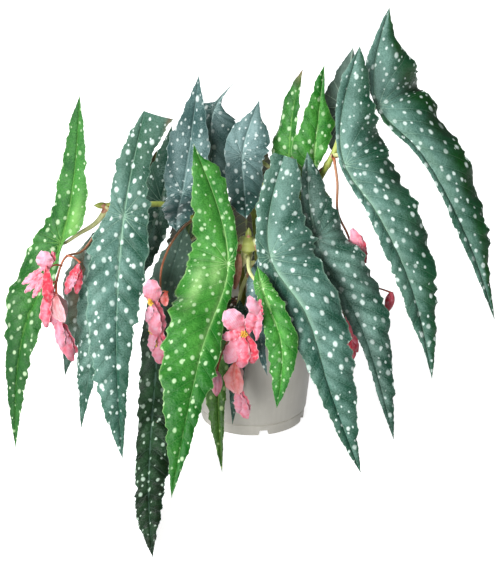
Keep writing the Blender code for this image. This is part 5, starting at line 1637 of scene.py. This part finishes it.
def build_pot():
    """The pot turned from its profile, with notches across its foot and drain holes cut through."""
    foot_inside = FOOT_RADIUS - FOOT_WALL
    band_foot = POT_HEIGHT - BAND_HEIGHT
    profile = (
        (0.01, 0), (PAD_RADIUS, 0), (PAD_RADIUS + 1.5, FLOOR_UNDERSIDE),
        (foot_inside - 1.0, FLOOR_UNDERSIDE), (foot_inside, 0), (FOOT_RADIUS, 0),
        (FOOT_RADIUS + 0.6, FOOT_HEIGHT - 1.6), (FOOT_RADIUS - 0.8, FOOT_HEIGHT - 1.0),
        (FOOT_RADIUS - 0.8, FOOT_HEIGHT + 0.4), (BODY_LOW_RADIUS, FOOT_HEIGHT + 0.8),
        (BODY_TOP_RADIUS, band_foot), (BAND_RADIUS, band_foot + 1.5),
        (BAND_RADIUS, POT_HEIGHT - 0.5), (BAND_RADIUS - 0.5, POT_HEIGHT),
        (BAND_RADIUS - POT_WALL, POT_HEIGHT), (BAND_RADIUS - POT_WALL - 0.4, band_foot + 3.0),
        (BODY_TOP_RADIUS - POT_WALL, band_foot - 1.0), (INSIDE_LOW_RADIUS, FLOOR_TOP + 3.0),
        (FLOOR_RADIUS, FLOOR_TOP), (0.01, FLOOR_TOP),
    )
    shell = Piece(PLASTIC)
    shell.add(*closed_tube(turned(rounded(profile, 0.7), POT_SIDES)))
    pot = shell.make("pot_shell", "pot", POT_SHARP_ANGLE)
    cutter = cutters()
    hole = pot.modifiers.new("notches", "BOOLEAN")
    hole.object, hole.operation, hole.solver = cutter, "DIFFERENCE", "EXACT"
    graph = bpy.context.evaluated_depsgraph_get()
    pot_cut = bpy.data.meshes.new_from_object(pot.evaluated_get(graph))
    pot.modifiers.clear()
    pot.data = pot_cut
    pot_cut.set_sharp_from_angle(angle=math.radians(POT_SHARP_ANGLE))
    bpy.data.objects.remove(cutter, do_unlink=True)


def cutters():
    """Wedges across the foot ring and posts through the floor, as one mesh of closed blocks.

    A block is a ring of points at a low and at a high place, joined as a short tube. The wedges
    narrow upwards.
    """
    piece = Piece()
    corners = ((NOTCH_INSIDE, -1), (NOTCH_OUTSIDE, -1), (NOTCH_OUTSIDE, 1), (NOTCH_INSIDE, 1))
    for k in range(NOTCH_COUNT):
        turn = NOTCH_TURN + TURN * k / NOTCH_COUNT
        along, across = way_round(X, Y, turn), way_round(Y, -X, turn)
        rings = [
            [along * reach + across * side * NOTCH_WIDTH / 2 * narrow + Z * height
             for reach, side in corners]
            for height, narrow in ((-2, 1.0), (NOTCH_HEIGHT, 0.72))
        ]
        piece.add(*closed_tube(np.array(rings)))
        middle = DRAIN_RING * way_round(X, Y, turn + math.pi / NOTCH_COUNT)
        ring = middle + DRAIN_RADIUS * way_round(X, Y, np.linspace(0, TURN, 28, endpoint=False))
        piece.add(*closed_tube(np.stack([ring - Z, ring + (FLOOR_TOP + 3) * Z])))
    mesh = bpy.data.meshes.new("cutters")
    faces = [tuple(c for c in face if c >= 0) for face in np.vstack(piece.faces).tolist()]
    mesh.from_pydata((np.vstack(piece.points) * MM).tolist(), [], faces)
    return placed("cutters", mesh)


def soil_height(x, y):
    """The top of the potting mix: a few crossing waves, higher in the middle, and fine crumbs."""
    bump = np.sin(x / 7.3 + 0.8) * np.cos(y / 8.9 - 0.4) + 0.6 * np.sin((x + 1.7 * y) / 5.1)
    crumbs = np.sin(x * 1.31 + 2 * np.sin(y * 0.7)) * np.sin(y * 1.17 + 2 * np.sin(x * 0.6))
    crumbs = crumbs + 0.5 * np.sin(x * 2.3 + y * 1.1) * np.sin(y * 2.7 - x * 0.8)
    plain = SOIL_TOP + SOIL_BUMP * (0.45 * bump + 0.5 - (x**2 + y**2) / BODY_TOP_RADIUS**2)
    return plain + 0.45 * crumbs


def swung(points, first, second, angle):
    """Points swung by an angle from one axis towards another."""
    cos, sin = np.cos(angle)[:, None], np.sin(angle)[:, None]
    found = points.copy()
    found[..., first] = points[..., first] * cos - points[..., second] * sin
    found[..., second] = points[..., first] * sin + points[..., second] * cos
    return found


def strew(piece, finish, count, sizes, within, random):
    """Strews grains evenly over the potting mix. Each is an uneven, stretched, turned icosahedron.

    A grain's reach from the middle is a radius times the root of an even random number.
    """
    golden = (1 + math.sqrt(5)) / 2
    corners = np.array([
        (-1, golden, 0), (1, golden, 0), (-1, -golden, 0), (1, -golden, 0), (0, -1, golden),
        (0, 1, golden), (0, -1, -golden), (0, 1, -golden), (golden, 0, -1), (golden, 0, 1),
        (-golden, 0, -1), (-golden, 0, 1),
    ]) / 1.9
    sides = np.array([
        (0, 11, 5), (0, 5, 1), (0, 1, 7), (0, 7, 10), (0, 10, 11), (1, 5, 9), (5, 11, 4),
        (11, 10, 2), (10, 7, 6), (7, 1, 8), (3, 9, 4), (3, 4, 2), (3, 2, 6), (3, 6, 8), (3, 8, 9),
        (4, 9, 5), (2, 4, 11), (6, 2, 10), (8, 6, 7), (9, 8, 1),
    ])
    reach = within * np.sqrt(random.random(count))
    turn = TURN * random.random(count)
    x, y = reach * np.cos(turn), reach * np.sin(turn)
    size = np.array(sizes) * (0.6 + 0.8 * random.random((count, 1)))
    shape = corners * size[:, None] * (0.8 + 0.4 * random.random((count, len(corners), 1)))
    spin = TURN * random.random(count)
    tilt = 0.9 * (random.random(count) - 0.5)
    shape = swung(swung(shape, 2, 0, tilt), 0, 1, spin)
    middle = beside(x, y, soil_height(x, y) + 0.2 * size[:, 2])
    faces = np.hstack([sides, np.full((len(sides), 1), -1)])
    points = (shape + middle[:, None]).reshape(-1, 3)
    piece.add(points, repeated(faces, len(corners), count), finish)


def build_soil():
    """Potting mix: a crumbly top on a plain plug, strewn with bark chips and perlite grains."""
    bottom = FLOOR_TOP + SOIL_GAP
    high = BODY_TOP_RADIUS - POT_WALL - SOIL_CLEARANCE
    plug = (
        (0.01, bottom), (FLOOR_RADIUS - SOIL_CLEARANCE, bottom),
        (INSIDE_LOW_RADIUS - 1.4 * SOIL_CLEARANCE, bottom + 4.0),
        (high, POT_HEIGHT - BAND_HEIGHT - 3.0),
    )
    lower = turned(np.array(plug), SOIL_SIDES)
    upper = turned(beside(np.linspace(high, 0.01, SOIL_RINGS), 0), SOIL_SIDES)
    upper[..., 2] = soil_height(upper[..., 0], upper[..., 1])
    piece = Piece(PEAT, BARK, PERLITE)
    piece.add(*closed_tube(np.concatenate([lower, upper])))
    random = np.random.default_rng(11)
    strew(piece, BARK, CHIP_COUNT, CHIP_SIZE, high - CHIP_MARGIN, random)
    strew(piece, PERLITE, CHIP_COUNT // 4, PERLITE_SIZE, high - CHIP_MARGIN, random)
    piece.make("potting_mix", "soil", 40)


# Studio


def build_camera():
    """The camera, turned to face its target from the front and above."""
    back = Vector((0, -math.cos(CAMERA_RISE), math.sin(CAMERA_RISE)))
    data = bpy.data.cameras.new("camera")
    data.lens, data.sensor_width = CAMERA_LENS, SENSOR
    data.clip_end = 50.0
    camera = placed("camera", data)
    camera.location = CAMERA_TARGET + back * CAMERA_DISTANCE
    camera.rotation_euler = (-back).to_track_quat("-Z", "Y").to_euler()
    bpy.context.scene.camera = camera


def soft_light(name, place, aim, width, power):
    """A square area light that faces the aim."""
    data = bpy.data.lights.new(name, "AREA")
    data.shape, data.size, data.energy = "SQUARE", width, power
    lamp = placed(name, data)
    lamp.location = place
    lamp.rotation_euler = (Vector(aim) - Vector(place)).to_track_quat("-Z", "Y").to_euler()


def build_studio():
    """A pale floor, a dim even sky, a soft key and a soft fill at the left front, a weak back light."""
    scene = bpy.context.scene
    scene.view_settings.view_transform = "Standard"
    world = bpy.data.worlds.new("studio")
    world.use_nodes = True
    backdrop = world.node_tree.nodes["Background"].inputs
    backdrop["Color"].default_value = (1, 1, 1, 1)
    backdrop["Strength"].default_value = 0.16
    scene.world = world
    mesh = bpy.data.meshes.new("floor")
    corners = [(x * FLOOR_REACH, y * FLOOR_REACH, 0) for x, y in ((-1, -1), (1, -1), (1, 1), (-1, 1))]
    mesh.from_pydata(corners, [], [(0, 1, 2, 3)])
    floor = placed("floor", mesh)
    made, _, shader = new_material("matt_white_paper", Roughness=0.95, Emission_Strength=0.80)
    shader.inputs["Base Color"].default_value = linear("#f4f4f4")
    shader.inputs["Emission Color"].default_value = (1, 1, 1, 1)
    mesh.materials.append(made)
    floor.visible_diffuse = False
    soft_light("key", (-1.6, -1.3, 1.5), (0, 0, 0.2), 0.7, 54)
    soft_light("fill", (-0.6, -2.1, 0.45), (0, 0, 0.12), 0.8, 31)
    soft_light("back", (-0.9, 2.3, 1.1), (0, 0, 0.2), 1.2, 26)


build_camera()
build_pot()
build_soil()
for leaf_name in LEAVES:
    build_leaf(leaf_name)
for cane_name in CANES:
    build_cane(cane_name)
for bunch_name in BUNCHES:
    build_bunch(bunch_name)
build_studio()

bpy.context.view_layer.update()
